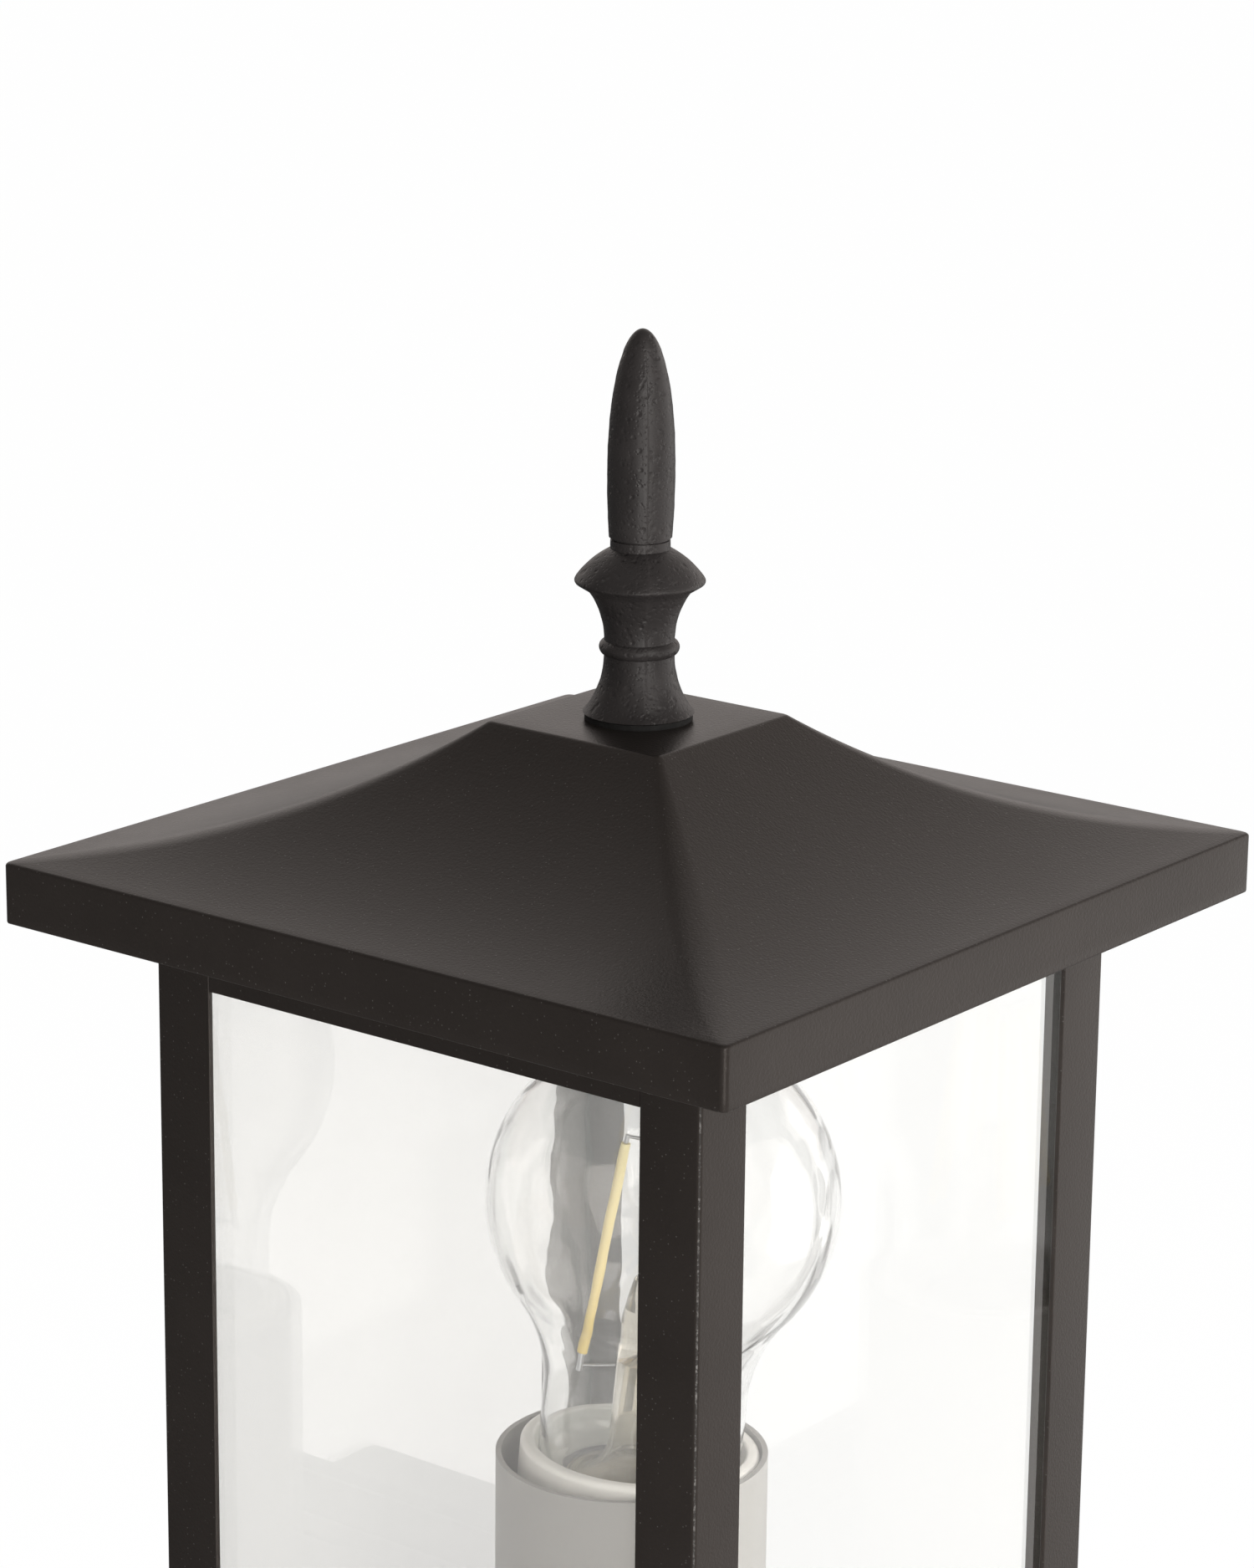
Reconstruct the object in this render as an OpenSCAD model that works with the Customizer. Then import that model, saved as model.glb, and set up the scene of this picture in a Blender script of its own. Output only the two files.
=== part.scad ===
// Outdoor wall lantern with a concave square roof, a cast spear finial and four clear panes.
// The lantern stands on a bent tube arm that comes out of a rectangular wall plate.
// Up is +Z, the room is towards -Y, and the origin is the centre of the wall bracket's back face.

/* [Roof] */
// Outer width of the square roof, over its skirt
roof_w = 152; // [136:1:200]
// Height of the straight skirt round the eaves
skirt_h = 10.6; // [6:0.1:16]
// Rise from the eaves to the flat top plate
roof_rise = 22.9; // [16:0.1:34]
// Width of the flat square top plate
top_plate_w = 36.5; // [28:0.5:48]
// Slope of the curved roof where it meets the skirt, in degrees
eave_angle = 5.5; // [2:0.5:10]
// Thickness of the pressed roof sheet
roof_sheet = 1.2; // [0.8:0.1:2]
// Radius of the soft hips at their fullest
hip_r = 5; // [2:0.5:9]
// Radius of the corners of the skirt and of the top plate
corner_r = 1.2; // [0.6:0.1:2.5]
// Radius of the fold between roof and skirt
fold_r = 0.6; // [0.4:0.1:1.5]

/* [Finial] */
// Height of the cast finial
finial_h = 65.7; // [60:0.1:80]
// Width of the foot of the finial
finial_foot_w = 19; // [16:0.1:24]
// Width of the two necks
finial_neck_w = 12.1; // [10:0.1:14]
// Width of the bead between the necks
finial_bead_w = 13.8; // [12.6:0.1:16]
// Height of the middle of the bead
finial_bead_z = 11.5; // [10:0.1:13]
// Width of the saucer
finial_saucer_w = 22.3; // [18:0.1:26]
// Height of the rim of the saucer
finial_saucer_z = 23; // [21:0.1:26]
// Width of the spear at its fullest
finial_spear_w = 11.56; // [10:0.01:13]
// Height at which the spear starts
finial_spear_z = 30.5; // [29:0.1:33]
// Diameter of the threaded stud that the finial screws on
stud_d = 6; // [5:0.5:8]
// Rise of the finial for one turn
stud_pitch = 1; // [0.8:0.05:1.25]
// Length of thread inside the finial
finial_grip = 9; // [6:0.5:14]
// Thickness of the rubber washer under the finial
washer_t = 0.9; // [0.5:0.1:2]

/* [Frame] */
// Outer width of the square body, over the corner posts
body_w = 116; // [90:1:140]
// Height from the underside of the bottom pan to the eaves
frame_h = 178; // [150:1:240]
// Width of each leg of the corner posts
leg_w = 12; // [8:0.5:18]
// Thickness of the posts, rails and ledges
sheet = 1; // [0.8:0.1:1.5]
// Depth of the top rail below the eaves
rail_drop = 21; // [18:0.5:30]
// Height of the lip of the bottom pan
pan_lip_h = 12; // [8:0.5:20]
// Thickness of the bottom pan
pan_sheet = 1.2; // [1:0.1:2]
// Height of the inner ledge that keeps the panes out at the bottom
ledge_h = 10; // [6:0.5:15]
// Width of the strip that carries the stud
bridge_w = 14; // [10:0.5:20]
// Thickness of that strip
bridge_t = 1.5; // [1:0.1:2.5]
// Depth of the middle of the strip below the eaves
bridge_drop = 6; // [4:0.5:8]

/* [Panes] */
// Thickness of the glass
glass_t = 3; // [2:0.1:4]
// Height of glass held inside the top rail
glass_hold = 7; // [4:0.5:10]
// Free play on each side of a pane
glass_play = 0.2; // [0.1:0.05:0.4]

/* [Lampholder] */
// Outer diameter of the white sleeve
sleeve_d = 46; // [44:0.5:52]
// Wall of the sleeve
sleeve_t = 1; // [0.6:0.1:1.5]
// Height of the rim of the sleeve over the underside of the pan
sleeve_top = 67.5; // [56:0.5:75]
// Outer diameter of the lampholder
holder_d = 40.4; // [39:0.1:41]
// Height of the lampholder
holder_h = 41; // [39:0.5:42]
// Height of the lampholder's rim over the rim of the sleeve
holder_proud = 1.3; // [0.5:0.1:3]
// Lean of the lampholder and bulb, in degrees
lean = 4.3; // [0:0.1:4.5]
// Direction of the lean, in degrees from +X
lean_dir = 45; // [0:5:90]
// Width of the bent strap that carries the lampholder
strap_w = 12; // [8:0.5:14]
// Length of the base of that strap
strap_l = 33.2; // [30:0.2:36]

/* [Bulb] */
// Diameter of the globe
bulb_d = 60; // [55:1:60]
// Height of the middle of the globe over the rim of the sleeve
bulb_mid = 47.5; // [42:0.5:50]
// Diameter of the neck of the bulb
bulb_neck_d = 34; // [30:0.5:34]
// Radius of the hollow curve between neck and globe
bulb_curve_r = 28; // [20:1:34]
// Wall of the bulb
bulb_wall = 0.8; // [0.5:0.1:1.2]
// Diameter of the screw cap over its thread
cap_d = 26.2; // [26:0.05:26.4]
// Number of filament sticks
filament_count = 4; // [2:1:6]
// Diameter of a filament stick
filament_d = 1.8; // [1.2:0.1:2.4]

/* [Arm and wall plate] */
// Distance from the wall to the middle of the lantern
reach = 110; // [104:1:160]
// Height from the arm's level part to the underside of the pan
arm_rise = 75; // [60:1:100]
// Outer diameter of the arm
arm_d = 16; // [14:0.5:20]
// Wall of the arm
arm_wall = 1.2; // [1:0.1:1.4]
// Radius of the arm's bend, at its middle line
bend_r = 32; // [24:1:36]
// Width of the wall plate
plate_w = 100; // [80:1:130]
// Height of the wall plate
plate_h = 130; // [126:1:180]
// Depth of the wall plate from the wall
plate_d = 28; // [26:0.5:40]
// Radius of the wall plate's corners
plate_corner_r = 5; // [3:0.5:12]
// Radius of the wall plate's front edge
plate_edge_r = 3; // [1:0.5:5]
// Thickness of the wall plate's sheet
plate_sheet = 1.2; // [0.8:0.1:2]
// Thickness of the rubber seal against the wall
seal_t = 1.5; // [1:0.1:3]
// Width of the seal
seal_w = 5; // [3:0.5:8]
// Length of the bracket on the wall
bracket_l = 110; // [106:1:120]
// Width of the bracket
bracket_w = 25; // [20:0.5:30]
// Thickness of the bracket
bracket_t = 2; // [1.5:0.1:3]
// Distance between the two wall slots
slot_spacing = 60; // [56:0.5:70]
// Width of a wall slot
slot_w = 5; // [4:0.1:6]
// Length of a wall slot, end to end
slot_l = 14; // [8:0.5:16]
// Distance between the two studs that hold the wall plate
plate_stud_spacing = 96; // [92:0.5:110]
// Diameter of those studs
plate_stud_d = 5; // [4:0.5:6]
// Diameter of the hollow threaded nipples
nipple_d = 10; // [8:0.5:10]
// Bore of the nipples
nipple_bore = 7; // [5.6:0.1:7.6]

/* [Wiring] */
// Diameter of each insulated lead
lead_d = 1.8; // [1.2:0.1:2]
// Length of the terminal block
block_l = 25; // [22:0.5:30]
// Width of the terminal block
block_w = 17; // [14:0.5:18]
// Depth of the terminal block
block_t = 10; // [8:0.5:12]
// Distance between poles of the terminal block
pole_pitch = 8; // [7:0.5:9]

/* [Hidden] */
$fn = 72;

// Small gaps between pieces
touch = 0.05;
seat_gap = 0.3;
run_gap = 0.05;

// Colours
black_paint = "#2b2927";
cast_black = "#333334";
rubber = "#1a1a1a";
zinc = "#b9bbbd";
brass = "#c9a45a";
white_plastic = "#dcdbd7";
clear_glass = [0.85, 0.92, 0.9, 0.3];
filament_yellow = "#f2cf6b";

// Heights
pan_z = arm_rise;
floor_z = pan_z + pan_sheet;
eave_z = pan_z + frame_h;
top_z = eave_z + roof_rise;

// The roof is an arc from the eaves to the top plate, the same on all four sides
eave_x = roof_w / 2;
plate_x = top_plate_w / 2;
run = eave_x - plate_x;
chord_angle = atan2(roof_rise, run);
top_angle = 2 * chord_angle - eave_angle;
arc_r = norm([run, roof_rise]) / (2 * sin((top_angle - eave_angle) / 2));
arc_x = eave_x + arc_r * sin(eave_angle);
arc_z = arc_r * cos(eave_angle);
roof_steps = 16;
fold_steps = 4;
corner_steps = 6;

// Frame, from the outside in
body_x = body_w / 2;
leg_in = body_x - sheet;
pane_out = leg_in - glass_play;
pane_in = pane_out - glass_t;
ledge_out = pane_in - seat_gap;
ledge_in = ledge_out - sheet;
frame_top_z = eave_z + under_roof(body_x) - seat_gap;
rail_z = eave_z - rail_drop;
glass_top_z = rail_z + glass_hold;
bridge_z = eave_z - bridge_drop;

// Stud, its nuts and the finial
stud_r = stud_d / 2;
stud_nut_w = 10;
stud_nut_h = 5;
stud_low_z = bridge_z - bridge_t / 2 - stud_nut_h - 1.5;
finial_z = top_z + washer_t;
stud_top_z = finial_z + finial_grip;

// Lampholder and bulb, measured along their own leaning axis from the holder's middle
holder_mid = sleeve_top + holder_proud - holder_h / 2;
holder_r = holder_d / 2;
holder_low = -holder_h / 2;
holder_floor_t = 6;
holder_floor = holder_low + holder_floor_t;
rim = holder_h / 2 - holder_proud;
shell_r = cap_d / 2 + 0.25;
shell_wall = 0.9;
cap_top = rim - 5;
cap_h = 19.5;
cap_in_r = cap_d / 2 - 1.1;
insulator_h = 3.5;
contact_h = 2.4;
cap_low = cap_top - cap_h;
contact_low = cap_low - insulator_h - contact_h;
strap_t = 1.2;
strap_gap = 5;
holder_screw_u = 10;
terminal_v = 9;
pan_earth = [-6, 14.5];

// Hollow nipples and their nuts
nipple_r = nipple_d / 2;
nipple_nut_w = nipple_d + 5;
nipple_nut_h = 4;
bush_l = 12;
collar_h = 5;
collar_r = arm_d / 2 + 4.5;

// Wall plate insides
stud_z = plate_stud_spacing / 2;
block_top = -4;
lug_t = 0.8;
lug_r = 3.8;
barrel_r = 1.5;
barrel_l = 5;
earth_z = 14;
earth_screw_r = 2;

// Underside height of the curved roof over the eaves, at distance x from the middle
function under_roof(x) = arc_z - sqrt(pow(arc_r + roof_sheet, 2) - pow(arc_x - x, 2));

// Points on an arc about [x, z]
function arc(x, z, r, from, to, n) =
    [for (i = [0 : n]) let (a = from + (to - from) * i / n) [x + r * cos(a), z + r * sin(a)]];

// A ring of points round a rectangle with rounded corners
function ring(hx, hy, r, z) =
    [for (q = [0 : 3], i = [0 : corner_steps])
        let (a = 90 * (q + i / corner_steps), sx = (q == 0 || q == 3) ? 1 : -1, sy = q < 2 ? 1 : -1)
        [sx * (hx - r) + r * cos(a), sy * (hy - r) + r * sin(a), z]];

// Where a point in the leaning holder lies: u along the lean, v across it, w up the holder
function leaning(u, v, w) =
    let (a = u * cos(lean) + w * sin(lean))
    [a * cos(lean_dir) - v * sin(lean_dir), a * sin(lean_dir) + v * cos(lean_dir) - reach,
     pan_z + holder_mid + w * cos(lean) - u * sin(lean)];

// A smooth curve through a list of points
function curve_point(a, b, c, d, t) =
    0.5 * (2 * b + (c - a) * t + (2 * a - 5 * b + 4 * c - d) * t * t
           + (3 * b - a - 3 * c + d) * t * t * t);
function smooth(p, n) =
    let (last = len(p) - 1)
    [for (i = [0 : last - 1], k = [0 : n - 1])
        curve_point(p[max(i - 1, 0)], p[i], p[i + 1], p[min(i + 2, last)], k / n), p[last]];

// A closed skin over rings of points, from the first ring to the last
module skin(rings) {
    n = len(rings[0]);
    last = len(rings) - 1;
    polyhedron(
        points = [for (r = rings) each r],
        faces = concat(
            [[for (i = [0 : n - 1]) i]],
            [for (k = [0 : last - 1], i = [0 : n - 1])
                [k * n + i, (k + 1) * n + i, (k + 1) * n + (i + 1) % n, k * n + (i + 1) % n]],
            [[for (i = [n - 1 : -1 : 0]) last * n + i]]),
        convexity = 6);
}

// A round wire along a path
module wire(path, r) {
    sides = 8;
    last = len(path) - 1;
    skin([for (k = [0 : last])
        let (t = path[min(k + 1, last)] - path[max(k - 1, 0)],
             a = cross(t, abs(t.x) > 0.9 * norm(t) ? [0, 0, 1] : [1, 0, 0]),
             b = cross(t, a))
        [for (i = [0 : sides - 1])
            let (g = -360 * i / sides)
            path[k] + r * (cos(g) * a / norm(a) + sin(g) * b / norm(b))]]);
}

// A straight round rod between two points
module rod(from, to, r) {
    d = to - from;
    translate(from)
    rotate([0, acos(d.z / norm(d)), atan2(d.y, d.x)])
    cylinder(h = norm(d), r = r, $fn = 24);
}

module tube(r_out, r_in, h) {
    difference() {
        cylinder(h = h, r = r_out);
        translate([0, 0, -1]) cylinder(h = h + 2, r = r_in);
    }
}

module hex_nut(w, h, bore_r) {
    difference() {
        cylinder(h = h, d = w / cos(30), $fn = 6);
        translate([0, 0, -1]) cylinder(h = h + 2, r = bore_r);
    }
}

// A pan head screw that points down, with its seat at z = 0
module pan_screw(r, length, head_r, head_h) {
    difference() {
        union() {
            cylinder(h = head_h, r = head_r);
            translate([0, 0, -length]) cylinder(h = length + 0.1, r = r);
        }
        translate([-head_r, -0.4, head_h - 1]) cube([2 * head_r, 0.8, 2]);
    }
}

module rounded_plate(w, l, h, r) {
    linear_extrude(h)
    union() {
        square([w - 2 * r, l], center = true);
        square([w, l - 2 * r], center = true);
        for (x = [-1, 1], y = [-1, 1])
            translate([x * (w / 2 - r), y * (l / 2 - r)]) circle(r);
    }
}

module at_lantern() {
    translate([0, -reach, 0]) children();
}

module leaning_frame() {
    at_lantern()
    translate([0, 0, pan_z + holder_mid])
    rotate(a = lean, v = [-sin(lean_dir), cos(lean_dir), 0])
    rotate([0, 0, lean_dir])
    children();
}

// The earth point in the floor of the pan, beside the strap, at height z
module at_pan_earth(z) {
    rotate([0, 0, lean_dir])
    translate([pan_earth.x, pan_earth.y, z])
    rotate([0, 0, 90])
    children();
}

// Things that lie on the wall: local z points from the wall into the room, local y points up
module from_wall() {
    rotate([90, 0, 0]) children();
}

// Cast finial, turned in outline: foot, neck, bead, neck, saucer, collar and spear
module finial() {
    foot_r = finial_foot_w / 2;
    neck_r = finial_neck_w / 2;
    bead_r = 1.35;
    bead_x = finial_bead_w / 2 - bead_r;
    bead_half = sqrt(pow(bead_r, 2) - pow(neck_r - bead_x, 2));
    bead_angle = asin(bead_half / bead_r);
    foot_lip = 0.25;
    low_z = finial_bead_z - bead_half;
    low_r = (pow(foot_r - neck_r, 2) + pow(low_z - foot_lip, 2)) / (2 * (foot_r - neck_r));
    saucer_r = finial_saucer_w / 2;
    under_z = finial_saucer_z - 1.7;
    under_r = saucer_r - 2.3;
    high_z = finial_bead_z + bead_half;
    high_r = (pow(under_r - neck_r, 2) + pow(under_z - high_z, 2)) / (2 * (under_r - neck_r));
    lip_r = 0.5;
    collar_r = 5.15;
    collar_z = finial_spear_z - 2;
    dome_low = [saucer_r - 0.25, finial_saucer_z + 0.55];
    dome_high = [collar_r, collar_z];
    dome_chord = dome_high - dome_low;
    dome_r = 16;
    dome_half = asin(norm(dome_chord) / 2 / dome_r);
    dome_dir = atan2(-dome_chord.x, dome_chord.y);
    dome_mid = (dome_low + dome_high) / 2
        - dome_r * cos(dome_half) * [cos(dome_dir), sin(dome_dir)];
    spear_r = finial_spear_w / 2;
    full_z = finial_spear_z + 10.5;
    tip_h = finial_h - full_z;
    spear_steps = 18;
    color(cast_black)
    at_lantern()
    translate([0, 0, finial_z])
    difference() {
        rotate_extrude()
        polygon(concat(
            [[0, 0], [foot_r - 0.5, 0], [foot_r, foot_lip]],
            arc(neck_r + low_r, low_z, low_r, 180 + asin((low_z - foot_lip) / low_r) - 2, 180, 10),
            arc(bead_x, finial_bead_z, bead_r, -bead_angle, bead_angle, 8),
            arc(neck_r + high_r, high_z, high_r, 180, 180 - asin((under_z - high_z) / high_r), 10),
            arc(saucer_r - lip_r, finial_saucer_z, lip_r, -60, 30, 5),
            arc(dome_mid.x, dome_mid.y, dome_r, dome_dir - dome_half, dome_dir + dome_half, 8),
            [[collar_r, finial_spear_z - 0.5], [collar_r - 0.25, finial_spear_z - 0.35],
             [collar_r - 0.25, finial_spear_z - 0.1]],
            [for (i = [0 : 6]) let (t = i / 6)
                [spear_r - 0.38 * pow(1 - t, 2), finial_spear_z + t * (full_z - finial_spear_z)]],
            [for (i = [1 : spear_steps]) let (t = sin(90 * i / spear_steps))
                [spear_r * pow(1 - pow(t, 2.25), 0.5), full_z + tip_h * t]]
        ));
        translate([0, 0, -1]) cylinder(h = finial_grip + 2, r = stud_r + run_gap);
    }
}

module finial_washer() {
    color(rubber)
    at_lantern()
    translate([0, 0, top_z])
    tube(finial_foot_w / 2 - 0.3, stud_r + run_gap, washer_t);
}

// Pressed roof: a shell with curved sides, soft hips, a flat top and a straight skirt
module roof() {
    fold_mid = [eave_x - fold_r, -fold_r * (1 - sin(eave_angle))];
    edge_r = 1.2;
    edge_d = edge_r * tan(top_angle / 2);
    in_top_angle = acos((arc_r * cos(top_angle) + roof_sheet) / (arc_r + roof_sheet));
    in_low_angle = asin((arc_x - eave_x + roof_sheet) / (arc_r + roof_sheet));
    start_angle = asin((arc_x - eave_x + fold_r) / arc_r);
    end_angle = asin((arc_x - plate_x - edge_d * cos(top_angle)) / arc_r);
    outside = concat(
        [[eave_x - 0.2, -skirt_h], [eave_x, 0.2 - skirt_h]],
        arc(fold_mid.x, fold_mid.y, fold_r, 0, 90 - eave_angle, fold_steps),
        [for (i = [1 : roof_steps]) let (a = start_angle + (end_angle - start_angle) * i / roof_steps)
            [arc_x - arc_r * sin(a), arc_z - arc_r * cos(a)]],
        [for (i = [1 : fold_steps]) let (a = top_angle * (1 - i / fold_steps))
            [plate_x - edge_d + edge_r * sin(a), roof_rise - edge_r + edge_r * cos(a)]]);
    inside = concat(
        [for (i = [roof_steps : -1 : 0])
            let (a = in_low_angle + (in_top_angle - in_low_angle) * i / roof_steps)
            [arc_x - (arc_r + roof_sheet) * sin(a), arc_z - (arc_r + roof_sheet) * cos(a)]],
        [[eave_x - roof_sheet, -skirt_h]]);
    color(black_paint)
    at_lantern()
    translate([0, 0, eave_z])
    difference() {
        skin(concat(
            [for (p = inside) ring(p.x, p.x, max(hip(p.y) - roof_sheet, 0.4), p.y)],
            [for (p = outside) ring(p.x, p.x, hip(p.y), p.y)]));
        translate([0, 0, roof_rise - 5]) cylinder(h = 10, r = stud_r + 0.4);
    }
}

// Radius of the hips at height z over the eaves
function hip(z) =
    let (t = min(max(z / roof_rise, 0), 1))
    corner_r + (hip_r - corner_r) * sin(180 * sqrt(t));

module roof_stud() {
    color(zinc)
    at_lantern()
    translate([0, 0, stud_low_z])
    cylinder(h = stud_top_z - stud_low_z, r = stud_r);
}

module stud_nuts() {
    color(zinc)
    at_lantern()
    for (z = [bridge_z - bridge_t / 2 - stud_nut_h, bridge_z + bridge_t / 2])
        translate([0, 0, z]) hex_nut(stud_nut_w, stud_nut_h, stud_r + touch);
}

// Sprung strip whose ends sit in windows in the top frame
module roof_bridge() {
    half = ledge_out + 1.3;
    color(zinc)
    at_lantern()
    difference() {
        translate([-half, -bridge_w / 2, bridge_z - bridge_t / 2])
        cube([2 * half, bridge_w, bridge_t]);
        translate([0, 0, bridge_z - 5]) cylinder(h = 10, r = stud_r + 0.1);
    }
}

// Folded rail round the top: outer web between the posts, top web and inner web
module top_frame() {
    h = frame_top_z - rail_z;
    color(black_paint)
    at_lantern()
    difference() {
        translate([-body_x, -body_x, rail_z]) cube([body_w, body_w, h]);
        translate([-ledge_in, -ledge_in, rail_z - 1]) cube([2 * ledge_in, 2 * ledge_in, h + 2]);
        difference() {
            translate([-leg_in, -leg_in, rail_z - 1]) cube([2 * leg_in, 2 * leg_in, h + 1 - sheet]);
            translate([-ledge_out, -ledge_out, rail_z - 2])
            cube([2 * ledge_out, 2 * ledge_out, h + 4]);
        }
        for (x = [-1, 1], y = [-1, 1]) {
            translate([x * (body_x - leg_w / 2), y * (body_x - sheet / 2), rail_z + h / 2])
            cube([leg_w + 2 * touch, sheet + 2 * touch, h + 2], center = true);
            translate([x * (body_x - sheet / 2), y * (body_x - leg_w / 2), rail_z + h / 2])
            cube([sheet + 2 * touch, leg_w + 2 * touch, h + 2], center = true);
        }
        translate([0, 0, bridge_z])
        cube([2 * leg_in, bridge_w + 0.4, bridge_t + 0.4], center = true);
    }
}

// Folded corner angle, with a small radius on its fold
module corner_post(turn) {
    bend = 0.8;
    color(black_paint)
    at_lantern()
    rotate([0, 0, turn])
    translate([-body_x, -body_x, floor_z])
    linear_extrude(frame_top_z - floor_z)
    difference() {
        union() {
            translate([bend, 0]) square([leg_w - bend, leg_w]);
            translate([0, bend]) square([leg_w, leg_w - bend]);
            translate([bend, bend]) circle(bend, $fn = 48);
        }
        translate([sheet, sheet]) square(leg_w);
    }
}

module post_front_left() { corner_post(0); }

module post_front_right() { corner_post(90); }

module post_rear_right() { corner_post(180); }

module post_rear_left() { corner_post(270); }

// One pane of glass: each runs past the end of the next, all the way round
module pane(turn) {
    bottom = floor_z + glass_play;
    color(clear_glass)
    at_lantern()
    rotate([0, 0, turn])
    translate([-pane_out, -pane_out, bottom])
    cube([pane_out + pane_in - 2 * glass_play, glass_t, glass_top_z - bottom]);
}

module pane_front() { pane(0); }

module pane_right() { pane(90); }

module pane_rear() { pane(180); }

module pane_left() { pane(270); }

// Folded angle round the floor that keeps the panes against the posts
module glass_ledge() {
    flange = 7;
    inner = ledge_in - flange;
    color(black_paint)
    at_lantern()
    difference() {
        translate([-ledge_out, -ledge_out, floor_z]) cube([2 * ledge_out, 2 * ledge_out, ledge_h]);
        translate([-ledge_in, -ledge_in, floor_z + sheet]) cube([2 * ledge_in, 2 * ledge_in, ledge_h]);
        translate([-inner, -inner, floor_z - 1]) cube([2 * inner, 2 * inner, ledge_h]);
    }
}

// Folded bottom pan: the posts stand inside its lip
module bottom_pan() {
    inside = body_w + 2 * touch;
    outside = inside + 2 * pan_sheet;
    color(black_paint)
    at_lantern()
    translate([0, 0, pan_z])
    difference() {
        rounded_plate(outside, outside, pan_lip_h, 1.6);
        translate([-inside / 2, -inside / 2, pan_sheet]) cube([inside, inside, pan_lip_h]);
        translate([0, 0, -1]) cylinder(h = 5, r = nipple_r + touch);
        at_pan_earth(-1) cylinder(h = 5, r = earth_screw_r + touch);
    }
}

// Bent strap under the lampholder, one leg shorter than the other, so that the holder leans
module holder_strap() {
    half = strap_l / 2;
    base = pan_sheet;
    function flange_z(u) = holder_mid + (holder_low - touch) / cos(lean) - u * tan(lean);
    color(zinc)
    difference() {
        at_lantern()
        translate([0, 0, pan_z])
        rotate([90, 0, lean_dir])
        linear_extrude(strap_w, center = true)
        polygon([
            [-half, base], [half, base],
            [half, flange_z(half)], [strap_gap, flange_z(strap_gap)],
            [strap_gap, flange_z(strap_gap) - strap_t],
            [half - strap_t, flange_z(half - strap_t) - strap_t],
            [half - strap_t, base + strap_t], [strap_t - half, base + strap_t],
            [strap_t - half, flange_z(strap_t - half) - strap_t],
            [-strap_gap, flange_z(-strap_gap) - strap_t], [-strap_gap, flange_z(-strap_gap)],
            [-half, flange_z(-half)]
        ]);
        at_lantern() translate([0, 0, pan_z]) cylinder(h = 5, r = nipple_r + touch);
        leaning_frame()
        for (u = [-1, 1])
            translate([u * holder_screw_u, 0, holder_low - 3]) cylinder(h = 5, r = 1.5 + touch);
    }
}

module holder_screws() {
    color(zinc)
    leaning_frame()
    for (u = [-1, 1])
        translate([u * holder_screw_u, 0, holder_floor]) pan_screw(1.5, holder_floor_t + 3.5, 2.8, 1.8);
}

module holder_sleeve() {
    color(white_plastic)
    at_lantern()
    translate([0, 0, floor_z])
    tube(sleeve_d / 2, sleeve_d / 2 - sleeve_t, pan_z + sleeve_top - floor_z);
}

// Moulded lampholder: a thick cup with a rounded rim, a wide mouth and a solid floor
module holder_body() {
    mouth_r = bulb_neck_d / 2 + 0.7;
    mouth_h = 8;
    well_r = shell_r + shell_wall + seat_gap;
    lip = 1.1;
    high = holder_h / 2;
    color(white_plastic)
    leaning_frame()
    difference() {
        rotate_extrude()
        polygon(concat(
            [[0, holder_low], [holder_r - 1, holder_low], [holder_r, holder_low + 1]],
            arc(holder_r - lip, high - lip, lip, 0, 90, 6),
            arc(mouth_r + lip / 2, high - lip / 2, lip / 2, 90, 180, 4),
            [[mouth_r, high - mouth_h], [well_r, high - mouth_h - 1], [well_r, holder_floor],
             [0, holder_floor]]));
        for (u = [-1, 1])
            translate([u * holder_screw_u, 0, holder_low - 1])
            cylinder(h = holder_floor_t + 2, r = 1.5 + 0.1);
        for (v = [-1, 1])
            translate([-2.7, v * terminal_v - 2.7, holder_low - 1]) cube([5.4, 5.4, 5.2]);
    }
}

module screw_shell() {
    low = holder_floor + touch;
    high = cap_top - 2.7;
    foot_r = 7.4;
    color(brass)
    leaning_frame()
    difference() {
        translate([0, 0, low]) cylinder(h = high - low, r = shell_r + shell_wall);
        translate([0, 0, low + 3]) cylinder(h = holder_h, r = shell_r);
        translate([0, 0, low - 1]) cylinder(h = 5, r = foot_r);
        for (u = [-1, 1])
            translate([u * holder_screw_u, 0, low - 1]) cylinder(h = 5, r = 3.1);
    }
}

// Sprung tongue under the bulb's contact, riveted through the holder's floor
module centre_contact() {
    color(brass)
    leaning_frame()
    translate([-2.2, 0, 0])
    rotate([90, 0, 0])
    linear_extrude(5, center = true)
    polygon([
        [-3, holder_floor], [3, holder_floor], [3, holder_floor + 0.5], [-2, holder_floor + 0.5],
        [4.4, contact_low - 0.6], [4.4, contact_low - 0.1], [1.6, contact_low - 0.1],
        [-3, holder_floor + 0.5]
    ]);
}

module holder_terminals() {
    color(brass)
    leaning_frame()
    for (v = [-1, 1])
        translate([0, v * terminal_v, holder_low])
        difference() {
            translate([-2.5, -2.5, 0]) cube([5, 5, 4]);
            translate([0, 0, -1]) cylinder(h = 4.2, r = lead_d / 2 + 0.2);
        }
}

// Bulb outline at a distance in from the outer surface, from the top down to the cap
function bulb_outline(inset) =
    let (r = bulb_d / 2, neck = bulb_neck_d / 2, far = neck + bulb_curve_r,
         drop = sqrt(pow(r + bulb_curve_r, 2) - pow(far, 2)),
         low = asin(drop / (r + bulb_curve_r)), seal_r = 5)
    concat(
        arc(0, bulb_mid, r - inset, 90, -low, 26),
        arc(far, bulb_mid - drop, bulb_curve_r + inset, 180 - low, 180, 10),
        arc(neck - seal_r, 0, seal_r - inset, 0, -70, 6),
        [[cap_d / 2 - 0.5 - inset, -4.9]]);

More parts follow.
